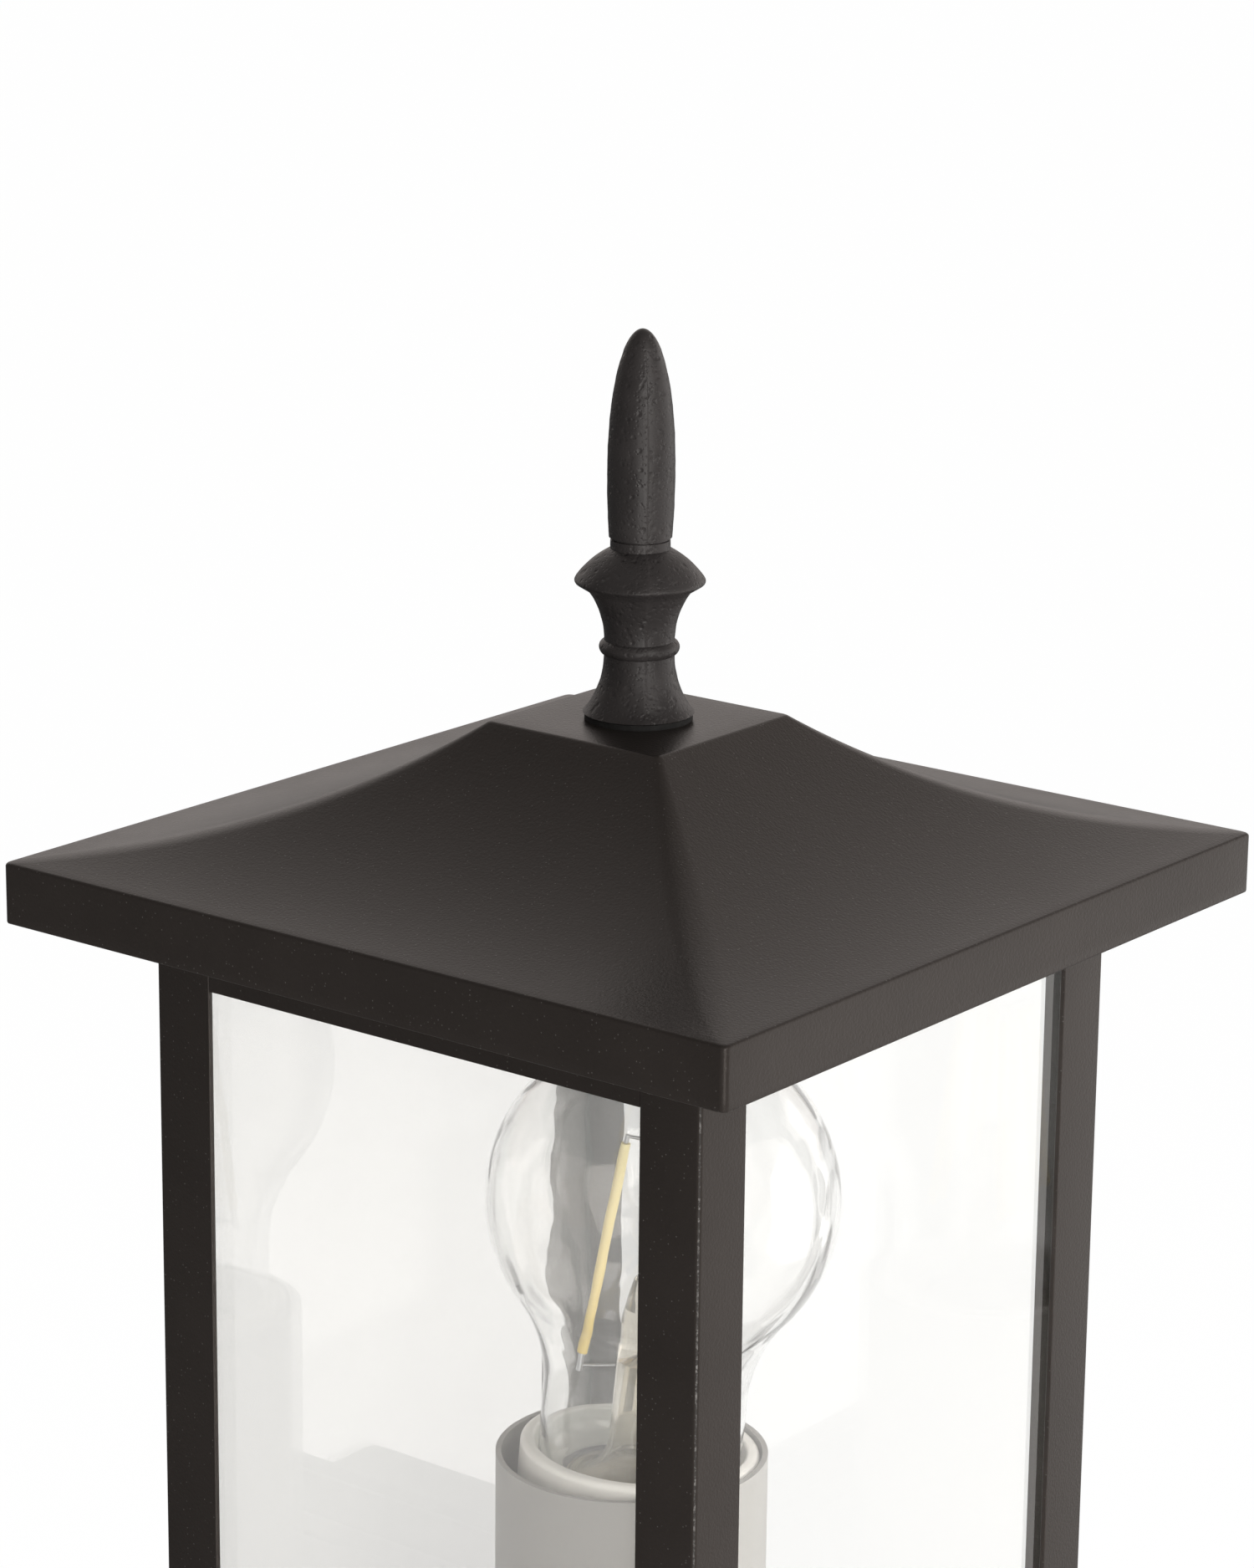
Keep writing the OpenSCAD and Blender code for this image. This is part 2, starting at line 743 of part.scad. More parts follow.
module bulb_glass() {
    outer = bulb_outline(0);
    inner = bulb_outline(bulb_wall);
    color(clear_glass)
    leaning_frame()
    translate([0, 0, rim])
    rotate_extrude()
    polygon(concat(outer, [for (i = [len(inner) - 1 : -1 : 0]) inner[i]]));
}

// Glass stem: a flare sealed to the neck, a pinched tube and a thin rod
module bulb_stem() {
    flare_r = cap_d / 2 - 1.7;
    stem_r = 4.6;
    rod_r = 0.9;
    bend = flare_r - stem_r;
    color(clear_glass)
    leaning_frame()
    translate([0, 0, rim])
    rotate_extrude()
    polygon(concat(
        arc(stem_r + bend, -4.6 + bend, bend, 270, 180, 8),
        [[stem_r - 0.4, 24]],
        arc(0, 30, stem_r - 1.4, 40, 80, 4),
        [[rod_r, 36], [rod_r, 55]],
        arc(0, 56, 1.6, -50, 90, 8),
        [[0, 20], [stem_r - 1.8, 17]],
        arc(stem_r + bend, -4.6 + bend, bend + 0.9, 180, 268, 8)));
}

// Where the filament sticks start and end: radius and height over the rim
stick_low = [10.5, 18.2];
stick_high = [6.2, 56.8];
tab_l = 3.7;
stick_dir = (stick_high - stick_low) / norm(stick_high - stick_low);
first_stick = 218 - lean_dir;

function stick_point(k, p) =
    let (a = first_stick + 360 * k / filament_count)
    [p.x * cos(a), p.x * sin(a), p.y];

module bulb_filaments() {
    color(filament_yellow)
    leaning_frame()
    translate([0, 0, rim])
    for (k = [0 : filament_count - 1])
        rod(stick_point(k, stick_low), stick_point(k, stick_high), filament_d / 2);
}

module bulb_wires() {
    color(zinc)
    leaning_frame()
    translate([0, 0, rim])
    for (k = [0 : filament_count - 1]) {
        rod(stick_point(k, stick_low - touch * stick_dir),
            stick_point(k, stick_low - tab_l * stick_dir), 0.55);
        rod(stick_point(k, stick_low - (tab_l - 1) * stick_dir), stick_point(k, [4.5, 16.2]), 0.3);
        rod(stick_point(k, stick_high + touch * stick_dir),
            stick_point(k, stick_high + 1.6 * stick_dir), 0.45);
        rod(stick_point(k, stick_high + 1.3 * stick_dir), stick_point(k, [1.45, 57.5]), 0.3);
    }
}

// Thin screw cap with a rolled thread
module bulb_cap() {
    ridge = 0.6;
    turns = 4;
    pitch = 3.6;
    skirt = 3.2;
    steps = 8;
    core_r = cap_d / 2 - ridge;
    color(zinc)
    leaning_frame()
    translate([0, 0, cap_top])
    rotate_extrude()
    polygon(concat(
        [[cap_in_r, -cap_h], [cap_in_r, 0], [core_r, 0]],
        [for (i = [0 : turns * steps])
            [core_r + ridge * (1 - cos(360 * i / steps)) / 2, -skirt - pitch * i / steps]],
        [[core_r, -cap_h + 0.6], [core_r - 0.4, -cap_h]]));
}

// Ring of baked cement that holds the glass in the cap
module bulb_cement() {
    h = 6;
    bore_r = 6;
    color("#b7ad97")
    leaning_frame()
    translate([0, 0, cap_top - h - 1])
    tube(cap_in_r - touch, bore_r, h);
}

module bulb_insulator() {
    color("#1c1c20")
    leaning_frame()
    translate([0, 0, cap_low - insulator_h])
    cylinder(h = insulator_h, r1 = 4.6, r2 = 10.5);
}

module bulb_contact() {
    color(zinc)
    leaning_frame()
    translate([0, 0, contact_low])
    rotate_extrude()
    polygon([[0, 0], [2.8, 0], [4.2, 1], [4.4, contact_h], [0, contact_h]]);
}

// Hollow nipple: a bush fixed in the arm's end and a thread that stands out of it
module nipple(out_l) {
    difference() {
        union() {
            translate([0, 0, -bush_l - 1]) cylinder(h = bush_l, r = arm_d / 2 - arm_wall - touch);
            translate([0, 0, -bush_l - 1]) cylinder(h = bush_l + 1 + out_l, r = nipple_r);
        }
        translate([0, 0, -bush_l - 2]) cylinder(h = bush_l + out_l + 4, d = nipple_bore);
    }
}

module pan_nipple() {
    color(zinc)
    at_lantern()
    translate([0, 0, pan_z])
    nipple(8);
}

module pan_nut() {
    color(zinc)
    at_lantern()
    translate([0, 0, floor_z + strap_t])
    hex_nut(nipple_nut_w, nipple_nut_h, nipple_r + touch);
}

// Turned collar that hides a joint of the arm: its flat side lies at z = 0 and faces up
module collar() {
    rotate_extrude()
    polygon([
        [arm_d / 2 + touch, -collar_h], [arm_d / 2 + 1.2, -collar_h], [collar_r - 0.6, -1.8],
        [collar_r, -1.4], [collar_r, 0], [arm_d / 2 + touch, 0]
    ]);
}

module pan_collar() {
    color(black_paint)
    at_lantern()
    translate([0, 0, pan_z])
    collar();
}

module wall_collar() {
    color(black_paint)
    from_wall()
    translate([0, 0, plate_d])
    mirror([0, 0, 1])
    collar();
}

// Round tube: level from the wall plate, a quarter bend, then up to the pan
module arm_tube() {
    module section() {
        difference() {
            circle(arm_d / 2);
            circle(arm_d / 2 - arm_wall);
        }
    }
    color(black_paint)
    union() {
        from_wall()
        translate([0, 0, plate_d])
        linear_extrude(reach - bend_r - plate_d) section();
        translate([0, bend_r - reach, bend_r])
        rotate([-90, 0, 270])
        rotate_extrude(angle = 90)
        translate([bend_r, 0])
        section();
        at_lantern()
        translate([0, 0, bend_r])
        linear_extrude(pan_z - bend_r) section();
    }
}

module wall_nipple() {
    color(zinc)
    from_wall()
    translate([0, 0, plate_d])
    mirror([0, 0, 1])
    nipple(7);
}

module wall_nut() {
    color(zinc)
    from_wall()
    translate([0, 0, plate_d - plate_sheet - nipple_nut_h])
    hex_nut(nipple_nut_w, nipple_nut_h, nipple_r + touch);
}

// Pressed wall plate: a box with a rounded front edge, open to the wall
module wall_plate() {
    x = plate_w / 2;
    y = plate_h / 2;
    t = plate_sheet;
    in_edge_r = max(plate_edge_r - t, 0.3);
    steps = 5;
    outside = concat(
        [[0, seal_t]],
        [for (p = arc(0, plate_d - plate_edge_r, plate_edge_r, 0, 90, steps))
            [plate_edge_r - p.x, p.y]]);
    inside = concat(
        [for (p = arc(0, plate_d - t - in_edge_r, in_edge_r, 90, 0, steps)) [t + in_edge_r - p.x, p.y]],
        [[t, seal_t]]);
    color(black_paint)
    from_wall()
    difference() {
        skin([for (p = concat(inside, outside))
            ring(x - p.x, y - p.x, max(plate_corner_r - p.x, 0.5), p.y)]);
        translate([0, 0, plate_d - 5]) cylinder(h = 10, r = nipple_r + touch);
        for (z = [-1, 1])
            translate([0, z * stud_z, plate_d - 5]) cylinder(h = 10, r = plate_stud_d / 2 + 0.25);
    }
}

module wall_seal() {
    color(rubber)
    from_wall()
    difference() {
        rounded_plate(plate_w, plate_h, seal_t, plate_corner_r);
        translate([0, 0, -1])
        rounded_plate(plate_w - 2 * seal_w, plate_h - 2 * seal_w, seal_t + 2, 1);
    }
}

// Flat bar on the wall, with two slots for the wall screws and two tapped holes
module wall_bracket() {
    slot_half = (slot_l - slot_w) / 2;
    color(zinc)
    from_wall()
    difference() {
        rounded_plate(bracket_w, bracket_l, bracket_t, 3);
        for (s = [-1, 1])
            translate([0, s * slot_spacing / 2, -1]) {
                for (e = [-1, 1])
                    translate([0, e * slot_half, 0]) cylinder(h = bracket_t + 2, d = slot_w);
                translate([-slot_w / 2, -slot_half, 0]) cube([slot_w, 2 * slot_half, bracket_t + 2]);
            }
        for (s = [-1, 1])
            translate([0, s * stud_z, -1]) cylinder(h = bracket_t + 2, d = plate_stud_d);
        translate([0, earth_z, -1]) cylinder(h = bracket_t + 2, r = earth_screw_r + touch);
    }
}

module plate_studs() {
    color(zinc)
    from_wall()
    for (s = [-1, 1])
        translate([0, s * stud_z, 0.2])
        cylinder(h = plate_d + 7.8, r = plate_stud_d / 2 - touch);
}

module cap_nuts() {
    nut_w = plate_stud_d + 3;
    hex_h = 4.5;
    dome_r = nut_w / 2 - 0.4;
    color(black_paint)
    from_wall()
    for (s = [-1, 1])
        translate([0, s * stud_z, plate_d])
        difference() {
            union() {
                cylinder(h = hex_h, d = nut_w / cos(30), $fn = 6);
                rotate_extrude()
                polygon(concat([[0, 1], [dome_r, 1]], arc(0, 6, dome_r, 0, 90, 10)));
            }
            translate([0, 0, -1]) cylinder(h = 9.4, d = plate_stud_d);
        }
}

// Moulded block with three brass inserts and a pair of screws to each
module terminal_block() {
    color(white_plastic)
    from_wall()
    difference() {
        translate([-block_l / 2, block_top - block_w, bracket_t]) cube([block_l, block_w, block_t]);
        for (p = [-1 : 1])
            translate([p * pole_pitch, block_top + 1, bracket_t + block_t / 2])
            rotate([90, 0, 0])
            cylinder(h = block_w + 2, r = 2.6);
        for (p = [-1 : 1], e = [0, 1])
            translate([p * pole_pitch, screw_y(e), bracket_t + block_t / 2])
            cylinder(h = block_t, r = 1.7);
        for (p = [-0.5, 0.5])
            translate([p * pole_pitch - 0.5, block_top - block_w - 1, bracket_t + block_t - 2])
            cube([1, block_w + 2, 4]);
    }
}

// Height of the terminal screws: the upper one of each pole, or the lower one
function screw_y(e) = block_top - (e == 0 ? 4.5 : block_w - 4.5);

module terminal_inserts() {
    color(brass)
    from_wall()
    for (p = [-1 : 1])
        translate([p * pole_pitch, block_top - 0.5, bracket_t + block_t / 2])
        difference() {
            rotate([90, 0, 0]) cylinder(h = block_w - 1, r = 2.5);
            translate([0, 1, 0]) rotate([90, 0, 0]) cylinder(h = block_w + 1, r = 1.3);
            for (e = [0, 1])
                translate([0, screw_y(e) - block_top + 0.5, 0]) cylinder(h = 5, r = 1.3);
        }
}

module terminal_screws() {
    color(zinc)
    from_wall()
    for (p = [-1 : 1], e = [0, 1])
        translate([p * pole_pitch, screw_y(e), bracket_t + block_t / 2 + lead_d / 2 + 0.1])
        difference() {
            cylinder(h = block_t / 2 - lead_d / 2 - 0.6, r = 1.2);
            translate([-2, -0.25, block_t / 2 - lead_d / 2 - 1.4]) cube([4, 0.5, 2]);
        }
}

// A lug lies flat with its hole at the origin and its barrel towards -Y
module lug() {
    difference() {
        union() {
            cylinder(h = lug_t, r = lug_r);
            translate([0, 0, barrel_r])
            rotate([90, 0, 0])
            translate([0, 0, lug_r - 0.4])
            cylinder(h = barrel_l, r = barrel_r);
            translate([-barrel_r, -lug_r - 1.6, 0]) cube([2 * barrel_r, 3, lug_t]);
        }
        translate([0, 0, -1]) cylinder(h = 6, r = earth_screw_r + 0.1);
        translate([0, 0, barrel_r])
        rotate([90, 0, 0])
        translate([0, 0, lug_r + 0.2])
        cylinder(h = barrel_l, r = lead_d / 2 + 0.1);
    }
}

module earth_lugs() {
    color(brass)
    union() {
        from_wall() translate([0, earth_z, bracket_t]) lug();
        at_lantern() at_pan_earth(floor_z) lug();
    }
}

module earth_screws() {
    color(brass)
    union() {
        from_wall()
        translate([0, earth_z, bracket_t + lug_t]) pan_screw(earth_screw_r, bracket_t + 0.6, 3.4, 2.4);
        at_lantern()
        at_pan_earth(floor_z + lug_t)
        pan_screw(earth_screw_r, pan_sheet + lug_t + 2.5, 3.4, 2.4);
    }
}

// The run of a lead inside the arm, x to the side and o towards the inside of the bend
function in_arm(x, o) = concat(
    [for (y = [21, 28, 40, 55, 68]) [x, -y * plate_d / 28, o]],
    [for (a = [0 : 15 : 90])
        [x, bend_r - reach - (bend_r - o) * sin(a), bend_r - (bend_r - o) * cos(a)]],
    [[x, o - reach, pan_z], [x, o - reach, pan_z + 8]]);

// A point over the pan: u along the strap, v across it, z over the pan's underside
function over_pan(u, v, z) =
    [u * cos(lean_dir) - v * sin(lean_dir), u * sin(lean_dir) + v * cos(lean_dir) - reach, pan_z + z];

module lead(knots, shade) {
    color(shade) wire(smooth(knots, 2), lead_d / 2);
}

module lead_live() {
    x = -pole_pitch;
    y = -bracket_t - block_t / 2;
    lead(concat(
        [[x, y, block_top - 8], [x, y, block_top - 3], [x, y, block_top + 1],
         [x + 1.6, y - 4, block_top + 4]],
        in_arm(-1.6, -0.9),
        [over_pan(-1.4, 3.6, 10.2), over_pan(-0.5, 7.3, 11.3)],
        [for (w = [-1.6, -0.2, 2.6]) leaning(0, terminal_v - (w < -1 ? 0.1 : 0), holder_low + w)]
    ), "#6a3f26");
}

module lead_neutral() {
    x = pole_pitch;
    y = -bracket_t - block_t / 2;
    lead(concat(
        [[x, y, block_top - 8], [x, y, block_top - 3], [x, y, block_top + 1],
         [x - 1.6, y - 4, block_top + 4]],
        in_arm(1.6, -0.9),
        [over_pan(1, -4, 10.2), over_pan(0.3, -7.3, 11.3)],
        [for (w = [-1.6, -0.2, 2.6]) leaning(0, (w < -1 ? 0.1 : 0) - terminal_v, holder_low + w)]
    ), "#2f5f9e");
}

module lead_earth() {
    y = -bracket_t - barrel_r;
    in_z = earth_z - lug_r;
    z = pan_sheet + barrel_r;
    mouth = pan_earth.x + lug_r + barrel_l;
    lead(concat(
        [[0, y, in_z - 1], [0, y, in_z - 5.2], [0, y - 0.4, in_z - 6.8], [0, y - 3, in_z - 9],
         [0, y - 9, 1.6]],
        in_arm(0, 1.7),
        [over_pan(3.6, 4.2, 10.4), over_pan(7.6, 8.6, 9.3), over_pan(9.6, 12.4, 5.8),
         over_pan(7.4, pan_earth.y - 0.2, z + 0.5), over_pan(mouth + 0.5, pan_earth.y, z),
         over_pan(mouth - 3.6, pan_earth.y, z)]
    ), "#6f9a3c");
}

finial();
finial_washer();
roof();
roof_stud();
stud_nuts();
roof_bridge();
top_frame();
post_front_left();
post_front_right();
post_rear_right();
post_rear_left();
pane_front();
pane_right();
pane_rear();
pane_left();
glass_ledge();
bottom_pan();
holder_strap();
holder_screws();
holder_sleeve();
holder_body();
screw_shell();
centre_contact();
holder_terminals();
bulb_glass();
bulb_stem();
bulb_filaments();
bulb_wires();
bulb_cap();
bulb_cement();
bulb_insulator();
bulb_contact();
pan_nipple();
pan_nut();
pan_collar();
arm_tube();
wall_collar();
wall_nipple();
wall_nut();
wall_plate();
wall_seal();
wall_bracket();
plate_studs();
cap_nuts();
terminal_block();
terminal_inserts();
terminal_screws();
earth_screws();
earth_lugs();
lead_live();
lead_neutral();
lead_earth();
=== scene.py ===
# Outdoor wall light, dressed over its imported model. Everything is in metres, with the wall at y = 0.
import bpy
import bmesh
from math import acos, asin, atan2, cos, hypot, pi, radians, sin, sqrt, tan
from mathutils import Matrix, Vector


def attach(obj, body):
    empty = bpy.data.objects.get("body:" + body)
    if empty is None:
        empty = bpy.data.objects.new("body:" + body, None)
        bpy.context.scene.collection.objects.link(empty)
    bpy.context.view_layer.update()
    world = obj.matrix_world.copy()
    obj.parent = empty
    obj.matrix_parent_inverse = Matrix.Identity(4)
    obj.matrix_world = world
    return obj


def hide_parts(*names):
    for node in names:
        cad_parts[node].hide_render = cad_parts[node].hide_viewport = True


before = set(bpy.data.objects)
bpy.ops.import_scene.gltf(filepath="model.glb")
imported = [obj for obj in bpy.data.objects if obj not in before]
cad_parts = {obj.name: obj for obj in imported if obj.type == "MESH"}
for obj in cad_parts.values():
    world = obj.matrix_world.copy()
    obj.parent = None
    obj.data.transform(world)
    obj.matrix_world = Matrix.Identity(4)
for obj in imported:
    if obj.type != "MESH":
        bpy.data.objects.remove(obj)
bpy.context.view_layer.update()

mm = 0.001


# Camera and studio
# The lantern hangs in a white studio. The camera stands in front, to the right and a little above,
# and a large soft lamp on the right leaves the left faces in shade.
lantern_y = -110 * mm
eave_z = 253 * mm
roof_w = 152 * mm
turn = radians(37.9)
drop = radians(15.34)
roll = radians(0.6)
back = Vector((sin(turn) * cos(drop), -cos(turn) * cos(drop), sin(drop)))
right = Vector((cos(turn), sin(turn), 0))
up = back.cross(right)
lens_x = cos(roll) * right + sin(roll) * up
lens_y = cos(roll) * up - sin(roll) * right
camera_data = bpy.data.cameras.new("camera")
camera_data.sensor_fit = "VERTICAL"
camera_data.sensor_height = 36
camera_data.lens = 107.0
camera_data.clip_end = 50
camera = bpy.data.objects.new("camera", camera_data)
bpy.context.scene.collection.objects.link(camera)
# The camera's place from the middle of the eaves, in roof widths.
away, aside, higher = 5.236, -0.0121, 0.071
camera.matrix_world = Matrix.Translation(
    Vector((0, lantern_y, eave_z)) + roof_w * (away * back + aside * right + higher * up)
) @ Matrix((lens_x, lens_y, back)).transposed().to_4x4()
bpy.context.scene.camera = camera
bpy.context.scene.view_settings.view_transform = "Standard"


def soft_lamp(name, place, aim, width, height, watts, shade):
    # A soft box that lights a point and that the camera does not see.
    data = bpy.data.lights.new(name, "AREA")
    data.shape = "RECTANGLE"
    data.size = width
    data.size_y = height
    data.energy = watts
    data.color = shade
    lamp = bpy.data.objects.new(name, data)
    bpy.context.scene.collection.objects.link(lamp)
    lamp.location = place
    lamp.rotation_euler = (Vector(aim) - Vector(place)).to_track_quat("-Z", "Y").to_euler()
    lamp.visible_camera = False


middle = (0, lantern_y, 0.2)
soft_lamp("key_lamp", (1.5, -1.4, -0.05), middle, 0.9, 1.5, 22, (1, 0.97, 0.94))
soft_lamp("right_lamp", (1.95, -0.75, 0.95), middle, 1.2, 1.8, 18, (1, 0.96, 0.92))
soft_lamp("rear_lamp", (1.5, 1.75, 0.05), middle, 3.2, 2.2, 27, (1, 0.96, 0.93))


def feed(tree, end, value):
    # An input takes another node's output or a plain value.
    if isinstance(value, bpy.types.NodeSocket):
        tree.links.new(value, end)
    else:
        end.default_value = value


def node_in(tree, kind, **values):
    # A shader node. Names in small letters are its settings, the others its inputs, with _ for a space.
    node = tree.nodes.new("ShaderNode" + kind)
    for key, value in values.items():
        if key.islower():
            setattr(node, key, value)
        else:
            feed(tree, node.inputs[key.replace("_", " ")], value)
    return node


def math_of(tree, operation, *terms):
    step = node_in(tree, "Math", operation=operation)
    for end, value in zip(step.inputs, terms):
        feed(tree, end, value)
    return step.outputs[0]


def blend_of(tree, share, first, second):
    # A colour that goes from the first to the second as share goes from 0 to 1.
    step = node_in(tree, "Mix", data_type="RGBA", Factor=share)
    feed(tree, step.inputs[6], first)
    feed(tree, step.inputs[7], second)
    return step.outputs[2]


def mixed_shader(tree, share, first, second):
    step = node_in(tree, "MixShader")
    for end, value in zip(step.inputs, (share, first.outputs[0], second.outputs[0])):
        feed(tree, end, value)
    return step.outputs[0]


def white_to_sight(tree, out, dull, strength, share, mirrored):
    # The camera and glass see white, and reflections see as much of it as mirrored says.
    path = node_in(tree, "LightPath").outputs
    seen = math_of(tree, "MAXIMUM", path["Is Camera Ray"], path["Is Transmission Ray"])
    seen = math_of(tree, "MAXIMUM", seen, math_of(tree, "MULTIPLY", path["Is Glossy Ray"], mirrored))
    glow = node_in(tree, "Background" if out.type == "OUTPUT_WORLD" else "Emission", Strength=strength)
    shown = mixed_shader(tree, math_of(tree, "MULTIPLY", seen, share), dull, glow)
    feed(tree, out.inputs["Surface"], shown)
    return glow


world = bpy.data.worlds.new("studio")
bpy.context.scene.world = world
world.use_nodes = True
sky = world.node_tree
sky.nodes.clear()
dim = node_in(sky, "Background", Color=(0.5, 0.5, 0.5, 1), Strength=0.01)
# The white backdrop is behind the lantern. The room on the camera's side is dark, and what the metal
# mirrors is a little warm.
way = node_in(sky, "TexCoord").outputs["Generated"]
behind = node_in(sky, "VectorMath", operation="DOT_PRODUCT", Vector=way)
behind.inputs[1].default_value = (-sin(turn), cos(turn), 0)
fade = node_in(sky, "MapRange", interpolation_type="SMOOTHSTEP", Value=behind.outputs["Value"],
               From_Min=-0.2, From_Max=0.95, To_Min=0.1, To_Max=1.0)
glow = white_to_sight(sky, node_in(sky, "OutputWorld"), dim, strength=1.0, share=1.0,
                      mirrored=fade.outputs["Result"])
mirror_ray = node_in(sky, "LightPath").outputs["Is Glossy Ray"]
feed(sky, glow.inputs["Color"], blend_of(sky, mirror_ray, (1, 1, 1, 1), (1, 0.92, 0.88, 1)))

floor_mesh = bpy.data.meshes.new("floor")
floor_reach, floor_shift, floor_height = 40, 2, -1.1
floor_corners = [(x * floor_reach, y * floor_reach + floor_shift, floor_height)
                 for x, y in ((-1, -1), (1, -1), (1, 1), (-1, 1))]
floor_mesh.from_pydata(floor_corners, [], [(0, 1, 2, 3)])
floor = bpy.data.objects.new("floor", floor_mesh)
bpy.context.scene.collection.objects.link(floor)
floor_look = bpy.data.materials.new("floor_paper")
floor_look.use_nodes = True
paper = floor_look.node_tree.nodes["Principled BSDF"]
paper.inputs["Base Color"].default_value = (0.8, 0.8, 0.8, 1)
paper.inputs["Roughness"].default_value = 0.9
white_to_sight(floor_look.node_tree, floor_look.node_tree.nodes["Material Output"], paper,
               strength=1.1, share=0.9, mirrored=0.15)
floor_mesh.materials.append(floor_look)


# Roof
# One pressed steel sheet: four hollow-curved slopes that meet in soft hips, a flat square top
# and a straight skirt. Black powder coat with a fine grain. The finial pulls it down on the frame.
roof_half = roof_w / 2
skirt_h = 10.6 * mm
roof_rise = 22.9 * mm
plate_half = 18.25 * mm
roof_sheet = 1.2 * mm
eave_slope = radians(5.5)
fold_r = 0.6 * mm
plate_edge_r = 1.2 * mm
run = roof_half - plate_half
top_slope = 2 * atan2(roof_rise, run) - eave_slope
sweep_r = hypot(run, roof_rise) / (2 * sin((top_slope - eave_slope) / 2))
sweep_x = roof_half + sweep_r * sin(eave_slope)
sweep_z = sweep_r * cos(eave_slope)


def bow(x, z, r, start, end, n):
    # Points along an arc about (x, z).
    return [(x + r * cos(start + (end - start) * i / n), z + r * sin(start + (end - start) * i / n))
            for i in range(n + 1)]


def hip_radius(z):
    # The hips are soft halfway up and tighten towards the eaves and the flat top.
    tight, softer = 1.2 * mm, 3.8 * mm
    t = min(max(z / roof_rise, 0), 1)
    return tight + softer * sin(pi * sqrt(t))


def square_ring(half, r, z):
    # Points round a square with rounded corners, the same number on every ring.
    ring = []
    corner_steps, side_steps = 10, 14
    signs = ((1, 1), (-1, 1), (-1, -1), (1, -1))
    for q in range(4):
        for i in range(corner_steps + 1):
            a = pi / 2 * (q + i / corner_steps)
            ring.append((signs[q][0] * (half - r) + r * cos(a), signs[q][1] * (half - r) + r * sin(a), z))
        here, after = ring[-1], signs[(q + 1) % 4]
        a = pi / 2 * (q + 1)
        ahead = (after[0] * (half - r) + r * cos(a), after[1] * (half - r) + r * sin(a), z)
        for i in range(1, side_steps):
            ring.append(tuple(p + (e - p) * i / side_steps for p, e in zip(here, ahead)))
    return ring


def new_piece(name, verts, faces, looks, stands_for, sharp, body="fitting"):
    # A smooth mesh that rides on a body, takes its finish from a slot and stands for CAD nodes.
    mesh = bpy.data.meshes.new(name)
    mesh.from_pydata([tuple(v) for v in verts], [], faces)
    work = bmesh.new()
    work.from_mesh(mesh)
    bmesh.ops.recalc_face_normals(work, faces=work.faces)
    work.to_mesh(mesh)
    work.free()
    mesh.polygons.foreach_set("use_smooth", [True] * len(mesh.polygons))
    mesh.set_sharp_from_angle(angle=radians(sharp))
    for look in looks:
        mesh.materials.append(look)
    piece = bpy.data.objects.new(name, mesh)
    bpy.context.scene.collection.objects.link(piece)
    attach(piece, body)
    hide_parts(*stands_for)
    return piece


def loft(rings):
    # Joins rings of points into a closed skin. The last ring is joined to the first.
    n, count = len(rings[0]), len(rings)
    verts = [point for ring in rings for point in ring]
    faces = []
    for k in range(count):
        m = (k + 1) % count
        for i in range(n):
            j = (i + 1) % n
            faces.append((k * n + i, k * n + j, m * n + j, m * n + i))
    return verts, faces


def shade_group(name, **ins):
    # Opens an effect that many finishes share. It gives back the group, its inputs and the place on the
    # object.
    group = bpy.data.node_groups.new(name, "ShaderNodeTree")
    for key, value in ins.items():
        kind = "NodeSocketColor" if isinstance(value, tuple) else "NodeSocketFloat"
        group.interface.new_socket(name=key, in_out="INPUT", socket_type=kind).default_value = value
    return group, group.nodes.new("NodeGroupInput").outputs, node_in(group, "TexCoord").outputs["Object"]


def close_group(group, **outs):
    # Puts out what changes over the surface, each under its own name.
    for key in outs:
        kind = "NodeSocketColor" if key == "Color" else "NodeSocketFloat"
        group.interface.new_socket(name=key, in_out="OUTPUT", socket_type=kind)
    end = group.nodes.new("NodeGroupOutput")
    for key, value in outs.items():
        group.links.new(value, end.inputs[key])
    return group


def spread(tree, value, low, high, to_low=0.0, to_high=1.0):
    # Stretches what lies between low and high over a new range, and holds the rest at its ends.
    step = node_in(tree, "MapRange", Value=value, From_Min=low, From_Max=high, To_Min=to_low, To_Max=to_high)
    return step.outputs[0]


def shaded(tree, color, factor):
    return node_in(tree, "VectorMath", operation="SCALE", Vector=color, Scale=factor).outputs[0]


def powder_grain():
    # Sprayed and baked powder: a fine orange peel, a slow change of tone and a few paler specks.
    pale_speck = (0.30, 0.29, 0.28, 1)
    group, given, place = shade_group(
        "powder_grain", Color=(0.04, 0.04, 0.04, 1), Grain=1900.0, Tone=0.12, Specks=0.1, Roughness=0.5)
    peel = node_in(group, "TexNoise", Vector=place, Scale=given["Grain"], Detail=3.0, Roughness=0.55)
    slow = node_in(group, "TexNoise", Vector=place, Scale=38.0, Detail=4.0, Roughness=0.6)
    cells = node_in(group, "TexVoronoi", Vector=place, Scale=1400.0)
    speck = spread(group, cells.outputs["Distance"], 0.0, 0.22, 1.0, 0.0)
    chance = node_in(group, "SeparateColor", Color=cells.outputs["Color"]).outputs[0]
    spots = math_of(group, "MULTIPLY", speck, spread(group, chance, 0.72, 0.8))
    swing = math_of(group, "MULTIPLY", math_of(group, "SUBTRACT", slow.outputs["Fac"], 0.5), given["Tone"])
    toned = shaded(group, given["Color"], math_of(group, "MULTIPLY_ADD", swing, 4.0, 1.0))
    color = blend_of(group, math_of(group, "MULTIPLY", spots, given["Specks"]), toned, pale_speck)
    rough = math_of(group, "ADD", given["Roughness"], swing)
    return close_group(group, Color=color, Roughness=rough, Height=peel.outputs["Fac"])


